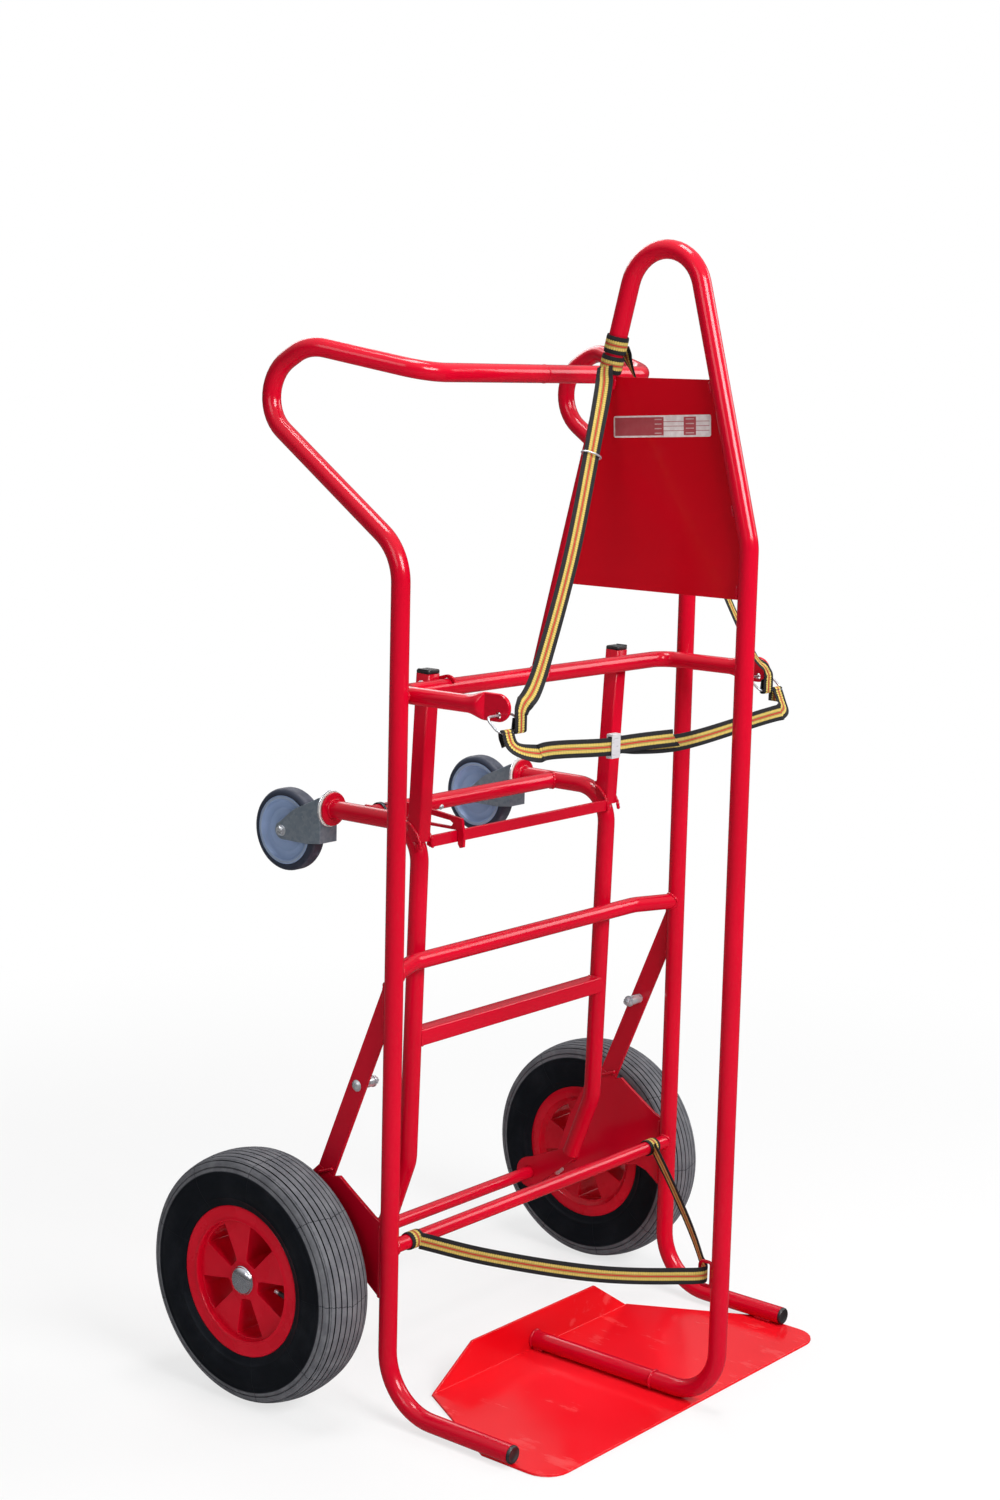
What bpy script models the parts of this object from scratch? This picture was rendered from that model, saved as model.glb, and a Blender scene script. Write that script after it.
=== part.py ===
"""Gas cylinder trolley with a lifting bow and a folding castor frame.

Units are metres and Z is up. The origin lies on the floor in the middle of the
plane of the two upright side tubes. The toe plate points to -Y, and the main
wheels and the handle are on the +Y side.
"""

import math

import bmesh
import bpy
from mathutils import Matrix, Vector


# Running gap between pieces that touch
GAP = 0.0003

# Tube stock
TUBE_R = 0.01345
CROSS_R = 0.0123
LOWER_CROSS_R = 0.0107
TUBE_SIDES = 12
BEND_STEPS = 6

# Half the distance between the side tubes
FRAME_HALF = 0.3385

# Toe plate
PLATE_T = 0.004
PLATE_HALF = FRAME_HALF + 0.0031
PLATE_FRONT_Y = -0.3038
PLATE_CORNER_R = 0.040
PLATE_REAR_HALF = FRAME_HALF - 0.0995
PLATE_REAR_Y = 0.0
PLATE_SIDE_REAR_Y = PLATE_FRONT_Y + 0.1228
UPSTAND_H = 0.060
UPSTAND_TOP_HALF = PLATE_REAR_HALF - 0.089

# Side tubes and the handle that they end in
FOOT_END_Y = -0.2322
FOOT_BEND_R = 0.085
KINK_Z = 1.2454
KINK_R = 0.082
HANDLE_RISE = math.radians(34.7)
HANDLE_RUN = 0.3669
GRIP_R = 0.0592
GRIP_X = FRAME_HALF - 0.0081
GRIP_Y = 0.1873
GRIP_Z = KINK_Z + 0.277
BAR_BEND_X = FRAME_HALF - 0.0829
BAR_BEND_R = 0.0605
BAR_Y = 0.0304
BAR_Z = KINK_Z + 0.2426
PLUG_LIP = 0.004

# Lifting bow in the middle plane
HEIGHT = 1.6778
UPRIGHT_Y = -0.339
UPRIGHT_BEND_R = 0.075
SEAM_Y = -0.2281
BOW_KINK_Z = HEIGHT - 0.4148
BOW_KINK_R = 0.080
BOW_APEX_Z = HEIGHT + 0.1732
BOW_APEX_Y = -0.1814
BOW_APEX_R = 0.0633

# Separator panel inside the bow
PANEL_T = 0.003
PANEL_TOP_Z = BOW_APEX_Z - 0.364
PANEL_BOTTOM_Z = BOW_KINK_Z - 0.0765

# Restraint hoop at the back of the load space, with flattened arm ends
HOOP_R = 0.0125
HOOP_Y = 0.0245
HOOP_Z = 1.047
HOOP_BEND_R = 0.030
HOOP_HALF = FRAME_HALF - TUBE_R - GAP - HOOP_R
ARM_TUBE_END_Y = -0.114
ARM_FLAT_Y = -0.130
ARM_END_Y = -0.176
ARM_FLAT_HALF_T = 0.0035
ARM_FLAT_HALF_H = 0.0195
EYE_Y = -0.158
EYE_DROP = 0.010
EYE_R = 0.0045

# Strap rings in the arm eyes
RING_WIRE_R = 0.0018
RING_HALF_W = 0.029
RING_DEPTH = 0.030
RING_CORNER_R = 0.010
RING_TILT = math.radians(40.0)

# Cross members
ARCH_Z = 0.655
ARCH_Y = 0.030
ARCH_BEND_X = FRAME_HALF - 0.0745
ARCH_BEND_R = 0.050
LOWER_CROSS_Z = 0.2554

# Main axle, wheels and their brackets
WHEEL_R = 0.185
AXLE_Y = 0.193
AXLE_Z = WHEEL_R
AXLE_R = 0.010
WHEEL_X = FRAME_HALF + 0.0664
WHEEL_STEPS = 28
TYRE_HALF_W = 0.0474
RIM_LIP_R = WHEEL_R - 0.0735
RIM_SEAT_R = RIM_LIP_R - 0.0073
RIM_MOUTH_R = RIM_LIP_R - 0.0180
RIM_THROAT_R = RIM_LIP_R - 0.0260
WEB_FRONT = 0.0250
WEB_BACK = -0.0120
RIM_HALF_W = 0.0400
RIM_LIP_T = 0.0030
HUB_R = 0.0270
HUB_HALF_W = 0.0330
WINDOW_COUNT = 5
WINDOW_FIRST = math.radians(-8.6)
WINDOW_HALF = math.radians(17.5)
WINDOW_IN_R = 0.0310
WINDOW_OUT_R = RIM_THROAT_R - 0.0025
CAP_R = 0.0215
CAP_H = 0.010
SPACER_R = 0.015
BRACKET_T = 0.006
BRACKET_EYE_R = 0.032
BRACKET_NECK_H = 0.114
BRACE_T = 0.005
BRACE_W = 0.031
BRACE_TOP_Z = 0.646
BRACE_LEAN = math.radians(22.6)
BRACE_LENGTH = 0.3215
BRACE_BOLT_AT = 0.134
BOLT_R = 0.004
BOLT_HEAD_R = 0.0085

# Folding castor frame, shown folded up
LEG_X = FRAME_HALF - 0.116
LEG_KINK_Y = 0.070
LEG_KINK_Z = 0.342
LEG_KINK_R = 0.060
LEG_FOOT_LEAN = math.radians(20.5)
LEG_FOOT_LENGTH = 0.1125
LEG_TOP_Y = 0.057
LEG_TOP_Z = HOOP_Z - 0.202
LEG_TOP_R = 0.055
FLANGE_Y = LEG_TOP_Y + 0.1693
FLANGE_R = 0.0252
FLANGE_T = 0.005
LUG_T = 0.008
LUG_EYE_R = 0.025
LEG_CROSS_Y = LEG_TOP_Y + 0.109
LEG_CROSS_R = 0.0125
SQUARE = 0.025
LOW_MEMBER_Z = 0.5285
BAR_FLAT_H = 0.017
BAR_FLAT_T = 0.005
BAR_FLAT_TOP_Z = LEG_TOP_Z - 0.016
BAR_FLAT_Y = LEG_TOP_Y - 0.007
POST_TOP_Z = HOOP_Z + 0.019
POST_FOOT_Z = LEG_TOP_Z - 0.010
POST_FOOT_Y = LEG_TOP_Y + 0.0035
POST_HEAD_Y = HOOP_Y + HOOP_R + GAP + SQUARE / 2
POST_CAP_H = 0.006
PIN_Z = HOOP_Z + 0.003
HOOK_T = 0.004

# Latch lever on the round cross tube of the castor frame
LEVER_X = LEG_X - 0.0725
LEVER_T = 0.005
LEVER_NOSE_Y = BAR_FLAT_Y - 0.012

# Castors
CASTOR_R = 0.0625
CASTOR_STEPS = 20
CASTOR_HALF_W = 0.0150
CASTOR_AXLE_Y = FLANGE_Y + 0.0917
CASTOR_TRAIL = 0.042
HEAD_R = 0.0275
HEAD_T = 0.0068
FORK_T = 0.0025
FORK_HALF = 0.0185
FORK_CROWN_T = 0.004

# Webbing
STRAP_W = 0.025
STRAP_T = 0.002
SHOULDER_SAG = 0.025
SHOULDER_BOW = 0.012
LOWER_STRAP_SHARE = 0.842
LOWER_SAG = 0.016
LOWER_BOW = 0.018
BUCKLE_SHARE = 0.429
BUCKLE_L = 0.019
BUCKLE_H = 0.034
TAIL_L = 0.135
GUIDE_R = 0.0025
GUIDE_Z = LOWER_CROSS_Z - 0.0504
GUIDE_HALF_H = 0.0185
GUIDE_DEPTH = 0.0200


for old in list(bpy.data.objects):
    bpy.data.objects.remove(old, do_unlink=True)

parts = bpy.data.collections.new("gas_cylinder_trolley")
cutters = bpy.data.collections.new("cutters")
bpy.context.scene.collection.children.link(parts)
bpy.context.scene.collection.children.link(cutters)


def material(name, color, roughness, metallic=0.0):
    mat = bpy.data.materials.new(name)
    mat.use_nodes = True
    shader = mat.node_tree.nodes["Principled BSDF"]
    shader.inputs["Base Color"].default_value = (*color, 1.0)
    shader.inputs["Roughness"].default_value = roughness
    shader.inputs["Metallic"].default_value = metallic
    return mat


FINISHES = {
    "red_paint": ((0.62, 0.004, 0.018), 0.28, 0.0),
    "red_plastic": ((0.60, 0.008, 0.020), 0.45, 0.0),
    "black_plastic": ((0.018, 0.018, 0.020), 0.55, 0.0),
    "tyre_rubber": ((0.035, 0.037, 0.042), 0.85, 0.0),
    "castor_rubber": ((0.045, 0.050, 0.070), 0.70, 0.0),
    "castor_plastic": ((0.22, 0.26, 0.34), 0.45, 0.0),
    "zinc": ((0.52, 0.54, 0.55), 0.35, 0.9),
    "chrome": ((0.75, 0.76, 0.78), 0.12, 1.0),
    "webbing": ((0.05, 0.05, 0.05), 0.90, 0.0),
}


def add_object(name, data, finish=None, collection=None):
    """Put an object in its collection and give it a material of its own."""
    obj = bpy.data.objects.new(name, data)
    (collection or parts).objects.link(obj)
    if finish:
        obj.data.materials.clear()
        obj.data.materials.append(material(name + "_" + finish, *FINISHES[finish]))
    return obj


def as_cutter(obj):
    for owner in list(obj.users_collection):
        owner.objects.unlink(obj)
    cutters.objects.link(obj)
    obj.hide_render = True
    obj.display_type = "WIRE"
    return obj


def smooth(obj, angle=math.radians(35.0)):
    obj.data.shade_smooth()
    obj.data.set_sharp_from_angle(angle=angle)
    return obj


def mirror_x(points):
    return [Vector((-p[0], p[1], p[2])) for p in points]


def bent_path(corners, radii, steps=BEND_STEPS):
    """Points of a bent bar: straight runs with an arc at each inner corner."""
    path = [Vector(corners[0])]
    for i, radius in enumerate(radii, start=1):
        before, corner, after = (Vector(c) for c in corners[i - 1:i + 2])
        into = (before - corner).normalized()
        out = (after - corner).normalized()
        opening = into.angle(out)
        centre = corner + (into + out).normalized() * radius / math.sin(opening / 2)
        reach = radius / math.tan(opening / 2)
        start = corner + into * reach - centre
        end = corner + out * reach - centre
        sweep = start.angle(end)
        for k in range(steps + 1):
            t = k / steps
            arc = (start * math.sin((1 - t) * sweep) + end * math.sin(t * sweep)) / math.sin(sweep)
            path.append(centre + arc)
    path.append(Vector(corners[-1]))
    return path


def tube(name, path, radius, finish=None, sides=TUBE_SIDES, closed=False):
    """A bar or wire along a path: a poly curve with a round bevel and filled caps."""
    curve = bpy.data.curves.new(name, "CURVE")
    curve.dimensions = "3D"
    curve.bevel_depth = radius
    curve.bevel_resolution = sides // 2 - 2
    curve.use_fill_caps = not closed
    spline = curve.splines.new("POLY")
    spline.points.add(len(path) - 1)
    for point, place in zip(spline.points, path):
        point.co = (*place, 1.0)
    spline.use_cyclic_u = closed
    return add_object(name, curve, finish)


def to_mesh(obj):
    """Turn a curve object into a closed mesh object of the same name."""
    bpy.context.view_layer.update()
    graph = bpy.context.evaluated_depsgraph_get()
    mesh = bpy.data.meshes.new_from_object(obj.evaluated_get(graph))
    bm = bmesh.new()
    bm.from_mesh(mesh)
    bmesh.ops.remove_doubles(bm, verts=bm.verts, dist=0.00001)
    bmesh.ops.recalc_face_normals(bm, faces=bm.faces)
    bm.to_mesh(mesh)
    bm.free()
    name = obj.name
    place = obj.matrix_world.copy()
    owner = obj.users_collection[0]
    bpy.data.objects.remove(obj, do_unlink=True)
    solid = bpy.data.objects.new(name, mesh)
    owner.objects.link(solid)
    solid.matrix_world = place
    return solid


def cut(obj, tool, operation="DIFFERENCE"):
    modifier = obj.modifiers.new(operation.lower(), "BOOLEAN")
    modifier.operation = operation
    modifier.object = tool
    modifier.solver = "EXACT"
    return obj


def apply_modifiers(obj):
    """Keep the evaluated shape of an object as its own mesh."""
    bpy.context.view_layer.update()
    graph = bpy.context.evaluated_depsgraph_get()
    mesh = bpy.data.meshes.new_from_object(obj.evaluated_get(graph))
    obj.modifiers.clear()
    obj.data = mesh
    return obj


def join_into(obj, others):
    """Weld other solids to an object with a Boolean union."""
    for other in others:
        cut(obj, other, "UNION")
    apply_modifiers(obj)
    for other in others:
        bpy.data.objects.remove(other, do_unlink=True)
    return obj


# Local axes for flat pieces: outline X and Y, then the thickness direction
ACROSS_X = Matrix(((0, 0, 1), (1, 0, 0), (0, 1, 0))).to_4x4()
ACROSS_Y = Matrix(((1, 0, 0), (0, 0, -1), (0, 1, 0))).to_4x4()
UPRIGHT = Matrix.Identity(4)


def flat(name, outline, thickness, finish, axes=ACROSS_X, at=(0, 0, 0), holes=()):
    """A flat piece: a filled 2D outline, with holes, extruded both ways."""
    curve = bpy.data.curves.new(name, "CURVE")
    curve.dimensions = "2D"
    curve.fill_mode = "BOTH"
    curve.extrude = thickness / 2
    for ring in (outline, *holes):
        spline = curve.splines.new("POLY")
        spline.points.add(len(ring) - 1)
        for point, place in zip(spline.points, ring):
            point.co = (place[0], place[1], 0.0, 1.0)
        spline.use_cyclic_u = True
    obj = add_object(name, curve, finish)
    obj.matrix_world = Matrix.Translation(at) @ axes
    return obj


def arc(centre, radius, start, end, steps):
    """Points of a plane arc, with angles in degrees."""
    out = []
    for k in range(steps + 1):
        angle = math.radians(start + (end - start) * k / steps)
        out.append((centre[0] + radius * math.cos(angle), centre[1] + radius * math.sin(angle)))
    return out


def circle(centre, radius, steps=24):
    return arc(centre, radius, 0.0, 360.0 * (steps - 1) / steps, steps - 1)


def bore(centre, radius, steps=24):
    """A hole whose flats stay one gap clear of a round pin of this radius."""
    return circle(centre, (radius + GAP) / math.cos(math.pi / steps), steps)


# Turned pieces run along local Z, which these turn towards world X or Y
TURN_X = Matrix(((0, 0, 1), (0, 1, 0), (-1, 0, 0))).to_4x4()
TURN_Y = Matrix(((1, 0, 0), (0, 0, 1), (0, -1, 0))).to_4x4()


def turned(name, profile, finish, at, axes=TURN_X, steps=24, closed=True):
    """A turned piece from (radius, height) points that run down the outer side."""
    mesh = bpy.data.meshes.new(name)
    points = [(r, 0.0, z) for r, z in profile]
    count = len(points)
    edges = [(i, i + 1) for i in range(count - 1)]
    if closed:
        edges.append((count - 1, 0))
    mesh.from_pydata(points, edges, [])
    obj = add_object(name, mesh, finish)
    screw = obj.modifiers.new("turn", "SCREW")
    screw.axis = "Z"
    screw.angle = 2 * math.pi
    screw.steps = steps
    screw.render_steps = steps
    screw.use_merge_vertices = True
    screw.merge_threshold = 0.00001
    obj.matrix_world = Matrix.Translation(at) @ axes
    return obj


def box(name, size, at, finish, turn=None, bevel=0.0):
    """A box made from a cube primitive with its size in its mesh."""
    mesh = bpy.data.meshes.new(name)
    bm = bmesh.new()
    bmesh.ops.create_cube(bm, size=1.0, matrix=Matrix.Diagonal((*size, 1.0)))
    bm.to_mesh(mesh)
    bm.free()
    obj = add_object(name, mesh, finish)
    obj.matrix_world = Matrix.Translation(at) @ (turn or Matrix.Identity(4))
    if bevel:
        edge = obj.modifiers.new("bevel", "BEVEL")
        edge.width = bevel
        edge.segments = 2
    return obj


def loft(name, rings, finish):
    """A closed solid through rings that all have the same number of points."""
    bm = bmesh.new()
    rows = [[bm.verts.new(p) for p in ring] for ring in rings]
    size = len(rows[0])
    for row, nxt in zip(rows[:-1], rows[1:]):
        for i in range(size):
            bm.faces.new((row[i], row[(i + 1) % size], nxt[(i + 1) % size], nxt[i]))
    bm.faces.new(list(reversed(rows[0])))
    bm.faces.new(rows[-1])
    bmesh.ops.recalc_face_normals(bm, faces=bm.faces)
    mesh = bpy.data.meshes.new(name)
    bm.to_mesh(mesh)
    bm.free()
    return add_object(name, mesh, finish)


def smooth_path(knots, steps=6):
    """A centripetal spline through knots, each a tuple that starts with x, y, z."""
    head = tuple(2 * a - b for a, b in zip(knots[0], knots[1]))
    tail = tuple(2 * a - b for a, b in zip(knots[-1], knots[-2]))
    full = [Vector(k) for k in (head, *knots, tail)]
    marks = [0.0]
    for before, after in zip(full[:-1], full[1:]):
        marks.append(marks[-1] + math.sqrt((after - before).length))
    out = []
    for i in range(1, len(full) - 2):
        t0, t1, t2, t3 = marks[i - 1:i + 3]
        p0, p1, p2, p3 = full[i - 1:i + 3]
        for k in range(steps):
            t = t1 + (t2 - t1) * k / steps
            a1 = p0.lerp(p1, (t - t0) / (t1 - t0))
            a2 = p1.lerp(p2, (t - t1) / (t2 - t1))
            a3 = p2.lerp(p3, (t - t2) / (t3 - t2))
            b1 = a1.lerp(a2, (t - t0) / (t2 - t0))
            b2 = a2.lerp(a3, (t - t1) / (t3 - t1))
            out.append(b1.lerp(b2, (t - t1) / (t2 - t1)))
    out.append(full[-2])
    return out


def strap(name, knots, width=STRAP_W, thickness=STRAP_T, steps=6):
    """Webbing through knots of (x, y, z, wx, wy, wz), w being its width direction."""
    stations = smooth_path(knots, steps)
    centres = [Vector(s[:3]) for s in stations]
    rings = []
    for i, station in enumerate(stations):
        along = centres[min(i + 1, len(centres) - 1)] - centres[max(i - 1, 0)]
        along.normalize()
        across = Vector(station[3:6])
        across = (across - along * across.dot(along)).normalized() * width / 2
        through = along.cross(across).normalized() * thickness / 2
        middle = centres[i]
        rings.append([middle + across + through, middle - across + through,
                      middle - across - through, middle + across - through])
    return loft(name, rings, "webbing")


# Side tubes: one bar each, from the foot along the toe plate to the middle of the handle
FOOT_Z = PLATE_T + GAP + TUBE_R
run_y = HANDLE_RUN * math.cos(HANDLE_RISE)
run_z = HANDLE_RUN * math.sin(HANDLE_RISE)
side_corners = [
    (-FRAME_HALF, FOOT_END_Y, FOOT_Z),
    (-FRAME_HALF, 0.0, FOOT_Z),
    (-FRAME_HALF, 0.0, KINK_Z),
    (-FRAME_HALF, run_y, KINK_Z + run_z),
    (-GRIP_X, GRIP_Y, GRIP_Z),
    (-BAR_BEND_X, BAR_Y, BAR_Z),
    (-GAP / 2, BAR_Y, BAR_Z),
]
side_radii = [FOOT_BEND_R, KINK_R, GRIP_R, GRIP_R, BAR_BEND_R]
side_path = bent_path(side_corners, side_radii)
tube("side_tube_left", side_path, TUBE_R, "red_paint")
tube("side_tube_right", mirror_x(side_path), TUBE_R, "red_paint")

# Ribbed plugs in the open ends of the foot tubes
for side, label in ((-1, "left"), (1, "right")):
    turned("foot_plug_" + label, [
        (0.0, PLUG_LIP + 0.0006), (TUBE_R * 0.72, PLUG_LIP + 0.0004), (TUBE_R - 0.0012, PLUG_LIP - 0.0004),
        (TUBE_R - 0.0002, PLUG_LIP - 0.0016), (TUBE_R - 0.0002, 0.0), (0.0, 0.0),
    ], "black_plastic", (side * FRAME_HALF, FOOT_END_Y - GAP, FOOT_Z),
        axes=Matrix.Rotation(math.pi / 2, 4, "X"), steps=16, closed=False)

# Cutters that follow the side tubes and the legs, one gap larger than the tube
side_cut = {}
for label, path in (("left", side_path), ("right", mirror_x(side_path))):
    side_cut[label] = as_cutter(to_mesh(tube("cut_side_" + label, path, TUBE_R + GAP)))

# Toe plate: one sheet with rounded front corners, folded up at its rear edge
front = arc((-PLATE_HALF + PLATE_CORNER_R, PLATE_FRONT_Y + PLATE_CORNER_R), PLATE_CORNER_R, 180, 270, 6)
front += arc((PLATE_HALF - PLATE_CORNER_R, PLATE_FRONT_Y + PLATE_CORNER_R), PLATE_CORNER_R, 270, 360, 6)
plate_outline = front + [
    (PLATE_HALF, PLATE_SIDE_REAR_Y),
    (PLATE_REAR_HALF, PLATE_REAR_Y),
    (-PLATE_REAR_HALF, PLATE_REAR_Y),
    (-PLATE_HALF, PLATE_SIDE_REAR_Y),
]
toe_plate = to_mesh(flat("toe_plate", plate_outline, PLATE_T, None, UPRIGHT, (0, 0, PLATE_T / 2)))
upstand = to_mesh(flat("upstand", [
    (-PLATE_REAR_HALF, 0.0), (PLATE_REAR_HALF, 0.0), (PLATE_REAR_HALF - 0.004, PLATE_T),
    (UPSTAND_TOP_HALF, UPSTAND_H), (-UPSTAND_TOP_HALF, UPSTAND_H), (-PLATE_REAR_HALF + 0.004, PLATE_T),
], PLATE_T, None, ACROSS_Y, (0, PLATE_REAR_Y, 0)))
join_into(toe_plate, [upstand])
toe_plate.data.materials.append(material("toe_plate_red_paint", *FINISHES["red_paint"]))

# Middle foot tube, butted to the foot of the bow
foot_rear_y = PLATE_REAR_Y - PLATE_T / 2 - GAP
tube("centre_foot", [(0, foot_rear_y, FOOT_Z), (0, SEAM_Y, FOOT_Z)], TUBE_R, "red_paint")

# Restraint hoop: a round tube bent to a U, with both ends pressed flat and rounded
def hoop_ring(centre, along, half_t, half_h, sides=TUBE_SIDES):
    side = along.cross(Vector((0, 0, 1))).normalized()
    ring = []
    for k in range(sides):
        angle = 2 * math.pi * (k + 0.5) / sides
        ring.append(centre + side * half_t * math.cos(angle) + Vector((0, 0, half_h * math.sin(angle))))
    return ring


def hoop_flat_ring(y, side, half_h):
    """A pressed section: two flat faces with rounded long edges."""
    ring = []
    turn = -side
    for k in range(TUBE_SIDES):
        angle = 2 * math.pi * (k + 0.5) / TUBE_SIDES
        push = min(1.0, abs(math.cos(angle)) * 2.2)
        wide = ARM_FLAT_HALF_T * math.copysign(push, math.cos(angle)) * turn
        ring.append(Vector((side * HOOP_HALF + wide, y, HOOP_Z + half_h * math.sin(angle))))
    return ring


hoop_path = bent_path([
    (-HOOP_HALF, ARM_TUBE_END_Y, HOOP_Z), (-HOOP_HALF, HOOP_Y, HOOP_Z),
    (HOOP_HALF, HOOP_Y, HOOP_Z), (HOOP_HALF, ARM_TUBE_END_Y, HOOP_Z),
], [HOOP_BEND_R, HOOP_BEND_R], 5)
tip_steps = 4
tip_length = 0.018
tip = [(ARM_FLAT_Y, 1.0)]
for k in range(tip_steps + 1):
    angle = math.radians(78.0) * k / tip_steps
    tip.append((ARM_END_Y + tip_length * (1 - math.sin(angle)), math.cos(angle)))
hoop_rings = []
for y, share in reversed(tip):
    hoop_rings.append(hoop_flat_ring(y, -1, ARM_FLAT_HALF_H * share))
for i, place in enumerate(hoop_path):
    along = hoop_path[min(i + 1, len(hoop_path) - 1)] - hoop_path[max(i - 1, 0)]
    hoop_rings.append(hoop_ring(place, along.normalized(), HOOP_R, HOOP_R))
for y, share in tip:
    hoop_rings.append(hoop_flat_ring(y, 1, ARM_FLAT_HALF_H * share))
hoop = loft("restraint_hoop", hoop_rings, "red_paint")
for side, label in ((-1, "left"), (1, "right")):
    eye = as_cutter(to_mesh(flat("cut_eye_" + label, circle((EYE_Y, HOOP_Z - EYE_DROP), EYE_R, 12), 0.03, None,
                                 ACROSS_X, (side * HOOP_HALF, 0, 0))))
    cut(hoop, eye)
smooth(hoop)

# Cutter for what stands on the hoop's cross run
hoop_cut = as_cutter(to_mesh(tube("cut_hoop", [(-HOOP_HALF, HOOP_Y, HOOP_Z), (HOOP_HALF, HOOP_Y, HOOP_Z)],
                                  HOOP_R + GAP, sides=24)))

# Lifting bow: from the seam forward, up as the front upright, over and down to the hoop
bow_rear_slope = (HOOP_Y - BOW_APEX_Y) / (BOW_APEX_Z - HOOP_Z)
bow_corners = [
    (0, SEAM_Y - GAP, FOOT_Z),
    (0, UPRIGHT_Y, FOOT_Z),
    (0, UPRIGHT_Y, BOW_KINK_Z),
    (0, BOW_APEX_Y, BOW_APEX_Z),
    (0, HOOP_Y, HOOP_Z),
]
bow = to_mesh(tube("lifting_bow", bent_path(bow_corners, [UPRIGHT_BEND_R, BOW_KINK_R, BOW_APEX_R], 8), TUBE_R))
bow.data.materials.append(material("lifting_bow_red_paint", *FINISHES["red_paint"]))
cut(bow, hoop_cut)
smooth(bow)

# Separator panel: a sheet in the middle plane, its side edges welded to the bow's two legs
def bow_front_y(z):
    return UPRIGHT_Y + max(0.0, z - BOW_KINK_Z) * (BOW_APEX_Y - UPRIGHT_Y) / (BOW_APEX_Z - BOW_KINK_Z)


def bow_rear_y(z):
    return BOW_APEX_Y + bow_rear_slope * (BOW_APEX_Z - z)


lean = (TUBE_R + GAP) * math.hypot(1.0, bow_rear_slope)
panel_outline = [
    (bow_front_y(PANEL_BOTTOM_Z) + TUBE_R + GAP, PANEL_BOTTOM_Z),
    (bow_rear_y(PANEL_BOTTOM_Z) - lean, PANEL_BOTTOM_Z),
    (bow_rear_y(PANEL_TOP_Z) - lean, PANEL_TOP_Z),
    (bow_front_y(PANEL_TOP_Z) + lean, PANEL_TOP_Z),
    (bow_front_y(BOW_KINK_Z) + lean + 0.0008, BOW_KINK_Z),
]
flat("separator_panel", panel_outline, PANEL_T, "red_paint")

# Strap guide: a bent wire loop on the rear side of the front upright
guide_y = UPRIGHT_Y + TUBE_R + GAP + GUIDE_R
guide_path = bent_path([
    (0, guide_y, GUIDE_Z - GUIDE_HALF_H * 0.4),
    (0, guide_y, GUIDE_Z - GUIDE_HALF_H),
    (0, guide_y + GUIDE_DEPTH, GUIDE_Z - GUIDE_HALF_H),
    (0, guide_y + GUIDE_DEPTH, GUIDE_Z + GUIDE_HALF_H),
    (0, guide_y, GUIDE_Z + GUIDE_HALF_H),
    (0, guide_y, GUIDE_Z - GUIDE_HALF_H * 0.4 + 0.001),
], [0.004, 0.008, 0.008, 0.004], 4)
tube("strap_guide", guide_path[:-1], GUIDE_R, "red_paint", sides=8, closed=True)

# Cross members between the side tubes: the upper one dished back, the lower one straight
def member(name, path, radius, sides=TUBE_SIDES):
    obj = to_mesh(tube(name, path, radius, sides=sides))
    obj.data.materials.append(material(name + "_red_paint", *FINISHES["red_paint"]))
    return obj


arch = member("dished_cross_tube", bent_path([
    (-FRAME_HALF, 0, ARCH_Z), (-ARCH_BEND_X, ARCH_Y, ARCH_Z),
    (ARCH_BEND_X, ARCH_Y, ARCH_Z), (FRAME_HALF, 0, ARCH_Z),
], [ARCH_BEND_R, ARCH_BEND_R], 5), CROSS_R)
lower_cross = member("lower_cross_tube", [(-FRAME_HALF, 0, LOWER_CROSS_Z), (FRAME_HALF, 0, LOWER_CROSS_Z)],
                     LOWER_CROSS_R)
for piece in (arch, lower_cross):
    cut(piece, side_cut["left"])
    cut(piece, side_cut["right"])
    smooth(piece)

# Axle: a bar through both brackets, with a spacer shoulder inside each wheel
bracket_out = FRAME_HALF + BRACKET_T / 2
hub_in = WHEEL_X - HUB_HALF_W
axle_end = WHEEL_X + HUB_HALF_W + 0.0008
half_axle = [(AXLE_R, axle_end), (AXLE_R, hub_in - 0.0006), (SPACER_R, hub_in - 0.0006),
             (SPACER_R, bracket_out + GAP), (AXLE_R, bracket_out + GAP)]
axle_profile = [(0.0, axle_end)] + half_axle + [(r, -z) for r, z in reversed(half_axle)] + [(0.0, -axle_end)]
smooth(apply_modifiers(turned("axle", axle_profile, "red_paint", (0, AXLE_Y, AXLE_Z), steps=16, closed=False)))

# Brackets, braces and the bolt through each brace
tube_back = TUBE_R + GAP
brace_along = (math.sin(BRACE_LEAN), -math.cos(BRACE_LEAN))
brace_over = (math.cos(BRACE_LEAN), math.sin(BRACE_LEAN))
brace_low = BRACE_TOP_Z - BRACE_W / math.sin(BRACE_LEAN)
outer_end = (tube_back + brace_along[0] * BRACE_LENGTH, BRACE_TOP_Z + brace_along[1] * BRACE_LENGTH)
inner_end = (outer_end[0] - brace_over[0] * BRACE_W, outer_end[1] - brace_over[1] * BRACE_W)
brace_mid_z = (BRACE_TOP_Z + brace_low) / 2
bolt_y = tube_back + brace_along[0] * BRACE_BOLT_AT
bolt_z = brace_mid_z + brace_along[1] * BRACE_BOLT_AT
brace_outline = [(tube_back, BRACE_TOP_Z), (tube_back, brace_low), inner_end, outer_end]
under = (brace_along[0] * GAP, brace_along[1] * GAP)
span = AXLE_Y - tube_back
lower_edge = [(0.0, -0.009), (0.146, 0.010), (0.258, 0.0155), (0.453, 0.007), (0.676, -0.015)]
bracket_outline = [(tube_back, AXLE_Z + lower_edge[0][1] + BRACKET_NECK_H)]
bracket_outline += [(tube_back + share * span, AXLE_Z + rise) for share, rise in lower_edge]
bracket_outline += arc((AXLE_Y, AXLE_Z), BRACKET_EYE_R, 225, 390, 11)
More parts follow.
